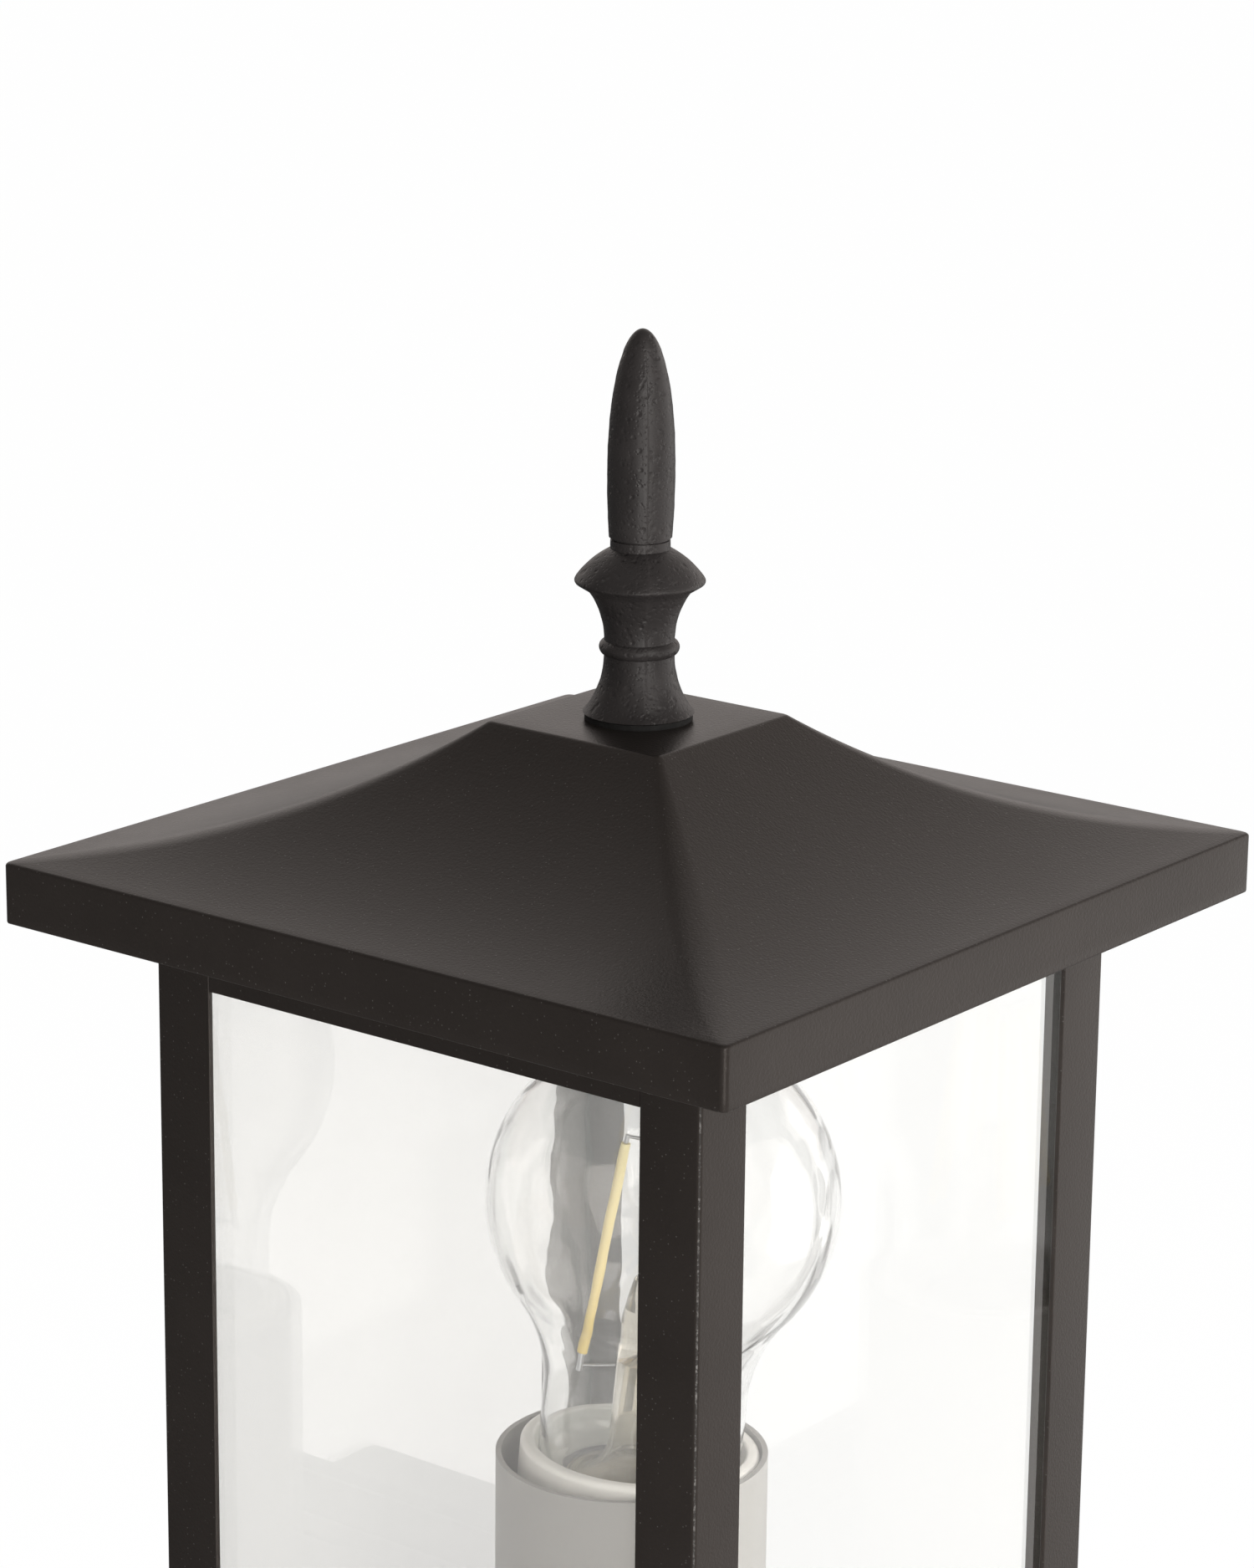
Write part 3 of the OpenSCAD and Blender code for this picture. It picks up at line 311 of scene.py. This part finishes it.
def plain_look(name, color, roughness=0.5, metallic=0.0, specular=0.5):
    look = bpy.data.materials.new(name)
    look.use_nodes = True
    shader = look.node_tree.nodes["Principled BSDF"]
    for key, value in (("Base Color", (*color, 1)), ("Roughness", roughness), ("Metallic", metallic),
                       ("Specular IOR Level", specular)):
        shader.inputs[key].default_value = value
    return look


def grouped_look(name, group, values, roughness=0.5, metallic=0.0, specular=0.5, bump=0.3, depth=0.0001):
    # A shader fed by a shared group. A roughness that is the same all over is set on the shader itself.
    look = plain_look(name, (0.5, 0.5, 0.5), roughness, metallic, specular)
    tree = look.node_tree
    shader = tree.nodes["Principled BSDF"]
    effect = node_in(tree, "Group", node_tree=group, **values).outputs
    raised = node_in(tree, "Bump", Strength=bump, Distance=depth, Height=effect["Height"])
    feed(tree, shader.inputs["Base Color"], effect["Color"])
    feed(tree, shader.inputs["Normal"], raised.outputs["Normal"])
    if "Roughness" in effect:
        feed(tree, shader.inputs["Roughness"], effect["Roughness"])
    return look


powder = grouped_look("black_powder", powder_grain(),
                      {"Color": (0.044, 0.038, 0.035, 1), "Roughness": 0.3, "Specks": 0.6},
                      specular=0.15, bump=0.6)
powder.node_tree.nodes["Principled BSDF"].inputs["Specular Tint"].default_value = (1, 0.93, 0.88, 1)

fold_mid = (roof_half - fold_r, -fold_r * (1 - sin(eave_slope)))
edge_run = plate_edge_r * tan(top_slope / 2)
inner_r = sweep_r + roof_sheet
slope_from = asin((sweep_x - roof_half + fold_r) / sweep_r)
slope_to = asin((sweep_x - plate_half - edge_run * cos(top_slope)) / sweep_r)
inner_from = asin((sweep_x - roof_half + roof_sheet) / inner_r)
inner_to = acos((sweep_r * cos(top_slope) + roof_sheet) / inner_r)
# From the eased lower edge up the skirt, over the fold and up the slope to the flat top.
edge_in, edge_up = 0.25 * mm, 0.3 * mm
outside = [(roof_half - edge_in, -skirt_h), (roof_half - 0.08 * mm, 0.07 * mm - skirt_h),
           (roof_half, edge_up - skirt_h)]
outside += [(roof_half, -skirt_h * k / 5) for k in (4, 3, 2)]
outside += bow(*fold_mid, fold_r, 0, pi / 2 - eave_slope, 6)
outside += [(sweep_x - sweep_r * sin(a), sweep_z - sweep_r * cos(a))
            for a in [slope_from + (slope_to - slope_from) * i / 40 for i in range(1, 41)]]
outside += [(plate_half - edge_run + plate_edge_r * sin(a), roof_rise - plate_edge_r * (1 - cos(a)))
            for a in [top_slope * (1 - i / 6) for i in range(1, 7)]]
rings = [square_ring(x, hip_radius(z), z) for x, z in outside]
# The flat top is drawn in to the hole for the stud.
hole_r = 3.4 * mm
rim = rings[-1]
for share in (0.75, 0.5, 0.25, 0):
    ring = []
    for x, y, z in rim:
        a = atan2(y, x)
        ring.append((x * share + hole_r * cos(a) * (1 - share), y * share + hole_r * sin(a) * (1 - share), z))
    rings.append(ring)
inner_corner = 0.4 * mm
under = [(sweep_x - inner_r * sin(a), sweep_z - inner_r * cos(a))
         for a in [inner_to + (inner_from - inner_to) * i / 24 for i in range(25)]]
under_rings = [square_ring(x, max(hip_radius(z) - roof_sheet, inner_corner), z) for x, z in under]
hole_low = [(x, y, roof_rise - roof_sheet) for x, y, z in rings[-1]]
rings += [hole_low] + under_rings + [square_ring(roof_half - roof_sheet, inner_corner, -skirt_h)]
verts, faces = loft(rings)
new_piece("roof_sheet", [(x, y + lantern_y, z + eave_z) for x, y, z in verts], faces, [powder],
          stands_for=("roof",), sharp=50)


# Finial and its washer
# A cast spear that is a cap nut for the roof stud: foot, neck, bead, neck, saucer, collar, spear.
# Painted casting with small pits and a faint parting line down each side. A rubber washer lies under it.
washer_t = 0.9 * mm
finial_z = eave_z + roof_rise + washer_t


def lathe(profile, segments, centre, wave=None):
    # Turns (radius, height) pairs about an upright axis. A radius of zero closes to a point.
    verts, faces, rows = [], [], []
    apart = 1e-7
    profile = [p for k, p in enumerate(profile)
               if not k or hypot(p[0] - profile[k - 1][0], p[1] - profile[k - 1][1]) > apart]
    for r, z in profile:
        ring = segments if r > apart else 1
        rows.append(range(len(verts), len(verts) + ring))
        for i in range(ring):
            a = 2 * pi * i / segments
            q = r + (wave(a, r, z) if wave and ring > 1 else 0)
            verts.append((centre[0] + q * cos(a), centre[1] + q * sin(a), centre[2] + z))
    for low, high in zip(rows, rows[1:]):
        for i in range(segments):
            j = (i + 1) % segments
            if len(low) == 1:
                faces.append((low[0], high[j], high[i]))
            elif len(high) == 1:
                faces.append((low[i], low[j], high[0]))
            else:
                faces.append((low[i], low[j], high[j], high[i]))
    return verts, faces


def finial_profile():
    # From the blind bore round the flared foot, bead and saucer to the tip, in millimetres from the foot.
    bore, bore_h = 3.05, 10.0
    foot, foot_edge, neck = 9.5, 0.25, 6.05
    bead, bead_z, bead_out = 1.35, 11.5, 6.9
    saucer, saucer_z, lip = 11.15, 23.0, 0.5
    dome_r = 16
    collar, collar_z, groove = 5.15, 28.5, 4.9
    spear, spear_low, spear_z, tip_z = 5.78, 30.5, 41, 65.7
    swell, bluntness = 0.38, 2.25
    bead_x = bead_out - bead
    half = sqrt(bead ** 2 - (neck - bead_x) ** 2)
    low_z, high_z = bead_z - half, bead_z + half
    low_r = ((foot - neck) ** 2 + (low_z - foot_edge) ** 2) / (2 * (foot - neck))
    under_z, under_x = saucer_z - 1.7, saucer - 2.3
    high_r = ((under_x - neck) ** 2 + (under_z - high_z) ** 2) / (2 * (under_x - neck))
    line = [(0, bore_h), (bore, bore_h), (bore, 0), (9.0, 0), (9.3, 0.05), (foot, foot_edge)]
    # The flare starts a little past the foot's edge, so that no two points meet.
    flare_from = pi + asin((low_z - foot_edge) / low_r) - 0.035
    line += bow(neck + low_r, low_z, low_r, flare_from, pi, 16)
    line += bow(bead_x, bead_z, bead, -asin(half / bead), asin(half / bead), 12)
    line += bow(neck + high_r, high_z, high_r, pi, pi - asin((under_z - high_z) / high_r), 16)
    line += bow(saucer - lip, saucer_z, lip, radians(-60), radians(30), 6)
    low, high = Vector((saucer - 0.25, saucer_z + 0.55)), Vector((collar, collar_z))
    chord = high - low
    half_angle = asin(chord.length / (2 * dome_r))
    way = atan2(-chord.x, chord.y)
    mid = (low + high) / 2 - dome_r * cos(half_angle) * Vector((cos(way), sin(way)))
    line += bow(mid.x, mid.y, dome_r, way - half_angle, way + half_angle, 14)
    line += [(collar, 29.2), (collar, 30.0), (groove, 30.15), (groove, 30.4)]
    line += [(spear - swell * (1 - t) ** 2, spear_low + (spear_z - spear_low) * t)
             for t in [i / 10 for i in range(11)]]
    for t in [sin(pi / 2 * i / 32) for i in range(1, 33)]:
        line.append((spear * sqrt(max(1 - t ** bluntness, 0)), spear_z + (tip_z - spear_z) * t))
    return [(r * mm, z * mm) for r, z in line]


def parting(a, r, z):
    # The mould halves met a little out of line, which leaves a step on two sides. The rest is uneven, and
    # all of it stays inside the CAD model. The foot, the bore and the tip keep their true size.
    bore_side, foot_side, full_r = 3.2 * mm, 1 * mm, 4 * mm
    if z < foot_side or r < bore_side:
        return 0
    seam, fade_over, rise_over, seam_width = radians(319), radians(65), radians(7), 0.01
    sunk, raised, inset, waver = -0.17, 0.03, 0.03, 0.012
    past = (a - seam) % pi
    step = sunk * max(0, 1 - past / fade_over) if past > seam_width else 0
    if past > pi - rise_over:
        step = raised
    uneven = sin(3 * a + 900 * z) + sin(7 * a - 1500 * z) + sin(2 * a + 2600 * z + 1)
    return mm * (step - inset + waver * (uneven - 3) * min(1, r / full_r))


def cast_pits():
    # A painted sand casting: shallow pits of two sizes and a slightly uneven tone.
    group, given, place = shade_group("cast_pits", Color=(0.04, 0.04, 0.04, 1), Pits=620.0, Roughness=0.42)
    heights = []
    for finer, high in ((1.0, 0.3), (2.6, 0.35)):
        cell = node_in(group, "TexVoronoi", feature="SMOOTH_F1", Vector=place,
                       Scale=math_of(group, "MULTIPLY", given["Pits"], finer))
        heights.append(spread(group, cell.outputs["Distance"], 0.05, high))
    broad = node_in(group, "TexNoise", Vector=place, Scale=150.0, Detail=5.0, Roughness=0.6).outputs["Fac"]
    pitted = math_of(group, "MULTIPLY_ADD", heights[1], 0.45, heights[0])
    wavy = math_of(group, "MULTIPLY_ADD", broad, 0.5, pitted)
    tone = spread(group, broad, 0.35, 0.65, 0.86, 1.14)
    rough = math_of(group, "MULTIPLY", given["Roughness"], tone)
    return close_group(group, Color=shaded(group, given["Color"], tone), Roughness=rough, Height=wavy)


cast_black = grouped_look("cast_black", cast_pits(), {"Color": (0.046, 0.042, 0.042, 1), "Roughness": 0.42},
                          specular=0.28, bump=0.5, depth=0.0003)
verts, faces = lathe(finial_profile(), 144, (0, lantern_y, finial_z), parting)
new_piece("finial_cast", verts, faces, [cast_black], body="finial",
          stands_for=("finial",), sharp=40)


def dress(look, *names):
    # Gives a finish to CAD nodes that keep their own shape.
    for name in names:
        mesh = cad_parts[name].data
        for i in range(len(mesh.materials)):
            mesh.materials[i] = look
        if not mesh.materials:
            mesh.materials.append(look)


def matte_skin():
    # A dull skin with a pale bloom in patches, for rubber and for baked cement.
    pale_bloom = (0.16, 0.16, 0.15, 1)
    group, given, place = shade_group("matte_skin", Color=(0.02, 0.02, 0.02, 1))
    bloom = node_in(group, "TexNoise", Vector=place, Scale=260.0, Detail=6.0, Roughness=0.7).outputs["Fac"]
    color = blend_of(group, spread(group, bloom, 0.4, 0.75, 0.0, 0.12), given["Color"], pale_bloom)
    return close_group(group, Color=color, Height=bloom)


matte = matte_skin()
rubber = grouped_look("black_rubber", matte, {"Color": (0.018, 0.018, 0.018, 1)},
                      roughness=0.8, specular=0.3, bump=0.2)
dress(rubber, "finial_washer")


# Frame
# Corner angles, top rail, ledge and bottom pan folded from 1 mm steel sheet and spot welded,
# with the same powder coat as the roof. The powder is thin and speckled on the folds, where the
# pale specks are partly wear and partly a painted highlight.
body_half = 58 * mm
leg_w = 12 * mm
sheet = 1 * mm
pan_z = 75 * mm
pan_sheet = 1.2 * mm
seat_gap = 0.3 * mm
floor_z = pan_z + pan_sheet
frame_top_z = eave_z + sweep_z - sqrt(inner_r ** 2 - (sweep_x - body_half) ** 2) - seat_gap


def worn_edge_and_highlight():
    # On a fold the powder breaks up into bright specks: partly wear, partly a painted highlight.
    group, given, place = shade_group(
        "worn_edge_and_highlight", Color=(0.04, 0.04, 0.04, 1), Worn=(0.36, 0.35, 0.34, 1), Amount=0.5)
    broken = node_in(group, "TexNoise", Vector=place, Scale=1500.0, Detail=4.0, Roughness=0.7).outputs["Fac"]
    patch = node_in(group, "TexNoise", Vector=place, Scale=90.0, Detail=2.0).outputs["Fac"]
    part = math_of(group, "MULTIPLY", spread(group, broken, 0.5, 0.62), spread(group, patch, 0.3, 0.7, 0.35))
    share = math_of(group, "MULTIPLY", part, given["Amount"])
    return close_group(group, Color=blend_of(group, share, given["Color"], given["Worn"]), Height=broken)


# The pale specks on the folds are partly wear and partly a painted highlight.
worn_powder_and_highlight = grouped_look("worn_powder_and_highlight", worn_edge_and_highlight(), {"Color": (0.05, 0.046, 0.043, 1), "Amount": 0.8},
                           specular=0.2, bump=0.4)


def prism(outline, low, high):
    # An upright bar of the given outline. Outline points that carry a True belong to the fold and
    # get the worn look, with its painted highlight.
    n = len(outline)
    verts = [(x, y, z) for z in (low, high) for x, y, fold in outline]
    faces = [(i, (i + 1) % n, n + (i + 1) % n, n + i) for i in range(n)]
    marks = [int(outline[i][2] and outline[(i + 1) % n][2]) for i in range(n)]
    faces += [tuple(range(n)), tuple(range(n, 2 * n))]
    return verts, faces, marks + [0, 0]


def corner_angle(name, turn_by):
    # Two legs of sheet that meet in a rounded fold. The cut edges are eased by a nib.
    bend, nib = 0.8 * mm, 0.12 * mm
    line = [(x, y, False) for x, y in (
        (leg_w, nib), (leg_w, sheet - nib), (leg_w - nib, sheet), (sheet, sheet),
        (sheet, leg_w - nib), (sheet - nib, leg_w), (nib, leg_w), (0, leg_w - nib))]
    line += [(x, y, 2 < i < 6) for i, (x, y) in enumerate(bow(bend, bend, bend, pi, 1.5 * pi, 8))]
    line += [(leg_w - nib, 0, False)]
    c, s = cos(turn_by), sin(turn_by)
    outline = []
    for x, y, fold in line:
        x, y = x - body_half, y - body_half
        outline.append((x * c - y * s, x * s + y * c + lantern_y, fold))
    verts, faces, marks = prism(outline, floor_z, frame_top_z)
    piece = new_piece(name + "_angle", verts, faces, [powder, worn_powder_and_highlight],
                      stands_for=(name,), sharp=30)
    piece.data.polygons.foreach_set("material_index", marks)


for k, name in enumerate(("post_front_left", "post_front_right", "post_rear_right", "post_rear_left")):
    corner_angle(name, k * pi / 2)
dress(powder, "top_frame", "glass_ledge", "bottom_pan")


# Panes
# Four sheets of 3 mm clear float glass, each running past the end of the next at the corners.
# The front and left panes carry a pale veil, a painted reflection of soft light, and the ground
# edges look deep green.
glass_t = 3 * mm
glass_play = 0.2 * mm
rail_drop = 21 * mm
glass_hold = 7 * mm
pane_out = body_half - sheet - glass_play
pane_in = pane_out - glass_t
pane_low = floor_z + glass_play
pane_high = eave_z - rail_drop + glass_hold


def clear_look(name, color, through=1.0, roughness=0.0, shadow=(0.93, 0.95, 0.94), gloss=0.5, waves=0.0):
    # Glass that bends what is behind it. Rays from the lamps go straight through. Blown glass is wavy.
    look = plain_look(name, color, roughness=roughness, specular=gloss)
    tree = look.node_tree
    shader = tree.nodes["Principled BSDF"]
    shader.inputs["IOR"].default_value = 1.5
    shader.inputs["Transmission Weight"].default_value = through
    if waves:
        place = node_in(tree, "TexCoord").outputs["Object"]
        swirl = node_in(tree, "TexNoise", Vector=place, Scale=55.0, Detail=1.0, Distortion=0.6)
        raised = node_in(tree, "Bump", Strength=waves, Distance=0.001, Height=swirl.outputs["Fac"])
        feed(tree, shader.inputs["Normal"], raised.outputs["Normal"])
    shadow_ray = node_in(tree, "LightPath").outputs["Is Shadow Ray"]
    open_way = node_in(tree, "BsdfTransparent", Color=(*shadow, 1))
    seen = mixed_shader(tree, shadow_ray, shader, open_way)
    feed(tree, tree.nodes["Material Output"].inputs["Surface"], seen)
    return look


# A tenth of the front and left panes is a pale diffuse white: a painted reflection over what is behind.
painted_veil_glass = clear_look("float_glass", (0.945, 0.942, 0.935), through=0.9, gloss=0.35)
wiped_glass = clear_look("wiped_float_glass", (0.95, 0.952, 0.945), through=1.0, gloss=0.04)
pane_edge = clear_look("float_glass_edge", (0.006, 0.022, 0.016), through=0.1, roughness=0.35, gloss=0.2)
nib, pane_gap, broad_faces = 0.3 * mm, 0.4 * mm, (0, 4)
x0, x1 = -pane_out, pane_in - pane_gap
y0, y1 = -pane_out, -pane_in
outline = [(x0 + nib, y0), (x1 - nib, y0), (x1, y0 + nib), (x1, y1 - nib),
           (x1 - nib, y1), (x0 + nib, y1), (x0, y1 - nib), (x0, y0 + nib)]
for k, (name, look) in enumerate((("pane_front", painted_veil_glass), ("pane_right", wiped_glass),
                                  ("pane_rear", wiped_glass), ("pane_left", painted_veil_glass))):
    c, s = cos(k * pi / 2), sin(k * pi / 2)
    turned = [(x * c - y * s, x * s + y * c + lantern_y, False) for x, y in outline]
    verts, faces = prism(turned, pane_low, pane_high)[:2]
    piece = new_piece(name + "_sheet", verts, faces, [look, pane_edge],
                      stands_for=(name,), sharp=20)
    piece.data.polygons.foreach_set("material_index", [int(i not in broad_faces) for i in range(len(faces))])


# Lampholder
# A white plastic sleeve stands on the pan round a thick-walled white lampholder, which is screwed
# to a bent strap and leans a little. Inside it are a brass shell, a contact tongue and two terminals.
def moulded_skin():
    # Moulded or glazed stuff: a slight orange peel and a slow drift of tone.
    group, given, place = shade_group("moulded_skin", Color=(0.7, 0.7, 0.7, 1), Roughness=0.4, Tone=0.06)
    flow = node_in(group, "TexNoise", Vector=place, Scale=55.0, Detail=3.0, Roughness=0.5).outputs["Fac"]
    peel = node_in(group, "TexNoise", Vector=place, Scale=900.0, Detail=2.0).outputs["Fac"]
    swing = math_of(group, "MULTIPLY", math_of(group, "SUBTRACT", flow, 0.5), given["Tone"])
    toned = shaded(group, given["Color"], math_of(group, "ADD", swing, 1.0))
    rough = math_of(group, "ADD", given["Roughness"], swing)
    return close_group(group, Color=toned, Roughness=rough, Height=peel)


moulded = moulded_skin()
# The sleeve's white is darkened to a mid grey: painted shade, as the sleeve stands deep in the lantern.
white_plastic = grouped_look("white_plastic", moulded, {"Color": (0.34, 0.333, 0.318, 1), "Roughness": 0.45},
                             bump=0.08)
dress(white_plastic, "holder_sleeve")
glazed = grouped_look("glazed_white", moulded, {"Color": (0.93, 0.92, 0.88, 1), "Roughness": 0.3}, bump=0.05)
dress(glazed, "holder_body")


def worked_metal():
    # Drawn or turned metal: fine lines along one way, small dull patches, and bright where rubbed.
    group, given, place = shade_group(
        "worked_metal", Color=(0.7, 0.7, 0.7, 1), Roughness=0.3, Dull=0.3, Lines=900.0)
    drawn = node_in(group, "VectorMath", operation="MULTIPLY", Vector=place)
    drawn.inputs[1].default_value = (1, 1, 0.08)
    drawn_place = drawn.outputs[0]
    lines = node_in(group, "TexNoise", Vector=drawn_place, Scale=given["Lines"], Detail=3.0).outputs["Fac"]
    patches = node_in(group, "TexNoise", Vector=place, Scale=120.0, Detail=5.0, Roughness=0.65).outputs["Fac"]
    share = math_of(group, "MULTIPLY", spread(group, patches, 0.42, 0.7), given["Dull"])
    color = blend_of(group, share, given["Color"], shaded(group, given["Color"], 0.55))
    rough = math_of(group, "MULTIPLY_ADD", share, 0.5, given["Roughness"])
    return close_group(group, Color=color, Roughness=rough, Height=lines)


metal_skin = worked_metal()
zinc = grouped_look("zinc_plate", metal_skin, {"Color": (0.6, 0.61, 0.63, 1), "Roughness": 0.3},
                    metallic=1.0, bump=0.15)
brass = grouped_look("bright_brass", metal_skin, {"Color": (0.8, 0.58, 0.26, 1), "Roughness": 0.22},
                     metallic=1.0, bump=0.12)
dress(zinc, "holder_strap", "holder_screws")
dress(brass, "screw_shell", "centre_contact", "holder_terminals")


# Bulb
# Clear blown envelope with four coated filament sticks on a glass stem. The screw cap is thin
# bright metal with a black glass disc and a tinned contact. It leans with the lampholder.
lean = radians(4.3)
sleeve_top, holder_h, holder_proud, bulb_wall = 67.5, 41, 1.3, 0.8
rim = holder_h / 2 - holder_proud
bulb_axis = (Matrix.Translation((0, lantern_y, pan_z + (sleeve_top - rim) * mm))
             @ Matrix.Rotation(lean, 4, Vector((-sin(pi / 4), cos(pi / 4), 0)))
             @ Matrix.Rotation(pi / 4, 4, "Z"))


def bulb_line(inset):
    # From the top of the globe down the neck to the seal in the cap, in millimetres from the rim.
    globe, mid, neck, curve, seal = 30.0, 47.5, 17.0, 28.0, 5.0
    end_r, end_z = 12.6, -4.9
    far = neck + curve
    fall = sqrt((globe + curve) ** 2 - far ** 2)
    low = asin(fall / (globe + curve))
    line = bow(0, mid, globe - inset, pi / 2, -low, 60)
    line += bow(far, mid - fall, curve + inset, pi - low, pi, 24)[1:]
    line += bow(neck - seal, 0, seal - inset, 0, radians(-70), 10)[1:]
    return line + [(end_r - inset, end_z)]


wall_line = [(r * mm, (z + rim) * mm) for r, z in bulb_line(0) + bulb_line(bulb_wall)[::-1]]
verts, faces = lathe(wall_line, 96, (0, 0, 0))
blown_glass = clear_look("bulb_glass", (0.99, 0.99, 0.985), through=0.98, shadow=(0.97, 0.97, 0.97),
                         gloss=0.8, waves=0.9)
new_piece("bulb_envelope", [bulb_axis @ Vector(v) for v in verts], faces, [blown_glass],
          stands_for=("bulb_glass",), sharp=60)
# The stem is drawn by hand from a milkier glass.
dress(clear_look("stem_glass", (0.95, 0.9, 0.8), through=0.9), "bulb_stem")


def phosphor():
    # Lumpy yellow coat on the filament sticks, paler towards their upper ends.
    group, given, place = shade_group("phosphor_coat", Color=(0.9, 0.68, 0.2, 1), Pale=(0.98, 0.88, 0.52, 1))
    lumps = node_in(group, "TexNoise", Vector=place, Scale=700.0, Detail=3.0).outputs["Fac"]
    height = node_in(group, "SeparateXYZ", Vector=place).outputs["Z"]
    color = blend_of(group, spread(group, height, 0.165, 0.2), given["Color"], given["Pale"])
    rough = spread(group, lumps, 0.0, 1.0, 0.45, 0.65)
    return close_group(group, Color=color, Roughness=rough, Height=lumps)


glowing_stick_look = grouped_look("yellow_phosphor_painted_glow", phosphor(), {}, bump=0.2)
stick_shader = glowing_stick_look.node_tree.nodes["Principled BSDF"]
# The bulb is not lit, yet a faint emission makes the sticks glow: a painted glow.
stick_shader.inputs["Emission Color"].default_value = (0.95, 0.75, 0.35, 1)
stick_shader.inputs["Emission Strength"].default_value = 0.18
dress(glowing_stick_look, "bulb_filaments")
bright = grouped_look("bright_alloy", metal_skin, {"Color": (0.86, 0.86, 0.87, 1), "Roughness": 0.2},
                      metallic=1.0, bump=0.08)
dress(bright, "bulb_cap", "bulb_contact")
baked = grouped_look("baked_cement", matte, {"Color": (0.47, 0.42, 0.31, 1)}, roughness=0.9, bump=0.5)
dress(baked, "bulb_cement")
dress(zinc, "bulb_wires")
black_glass = grouped_look("black_glass", moulded, {"Color": (0.012, 0.012, 0.016, 1), "Roughness": 0.1},
                           bump=0.05)
dress(black_glass, "bulb_insulator")


# Roof stud
# A zinc-plated steel stud with two nuts stands in a strip of sprung steel, whose ends sit in windows
# of the top frame. The finial screws down on it and holds the roof.
dress(zinc, "roof_stud", "stud_nuts", "roof_bridge")


# Arm
# Round steel tube bent to a quarter circle, held at each end by a hollow nipple and a nut,
# with a turned collar over each joint. Powder coated.
dress(powder, "arm_tube", "pan_collar", "wall_collar")
dress(zinc, "pan_nipple", "pan_nut", "wall_nipple", "wall_nut")


# Wall plate
# A pressed steel box, powder coated, over a zinc-plated bracket that is screwed to the wall. Two studs
# of the bracket come through it and take cap nuts, and a rubber seal lies along its rim.
dress(powder, "wall_plate", "cap_nuts")
dress(rubber, "wall_seal")
dress(zinc, "wall_bracket", "plate_studs")


# Wiring
# A moulded terminal block with brass inserts and plated screws. Three stiff sheathed leads run from it
# through the arm, and brass screws and lugs make the earth fast at both ends.
# The block shares the sleeve's darkened grey, which is painted shade.
dress(white_plastic, "terminal_block")
dress(zinc, "terminal_screws")
dress(brass, "terminal_inserts", "earth_screws", "earth_lugs")
for name, color in (("lead_live", (0.15, 0.06, 0.03)), ("lead_neutral", (0.03, 0.12, 0.4)),
                    ("lead_earth", (0.12, 0.32, 0.04))):
    dress(grouped_look(name + "_sheath", moulded, {"Color": (*color, 1), "Roughness": 0.45}, bump=0.1), name)
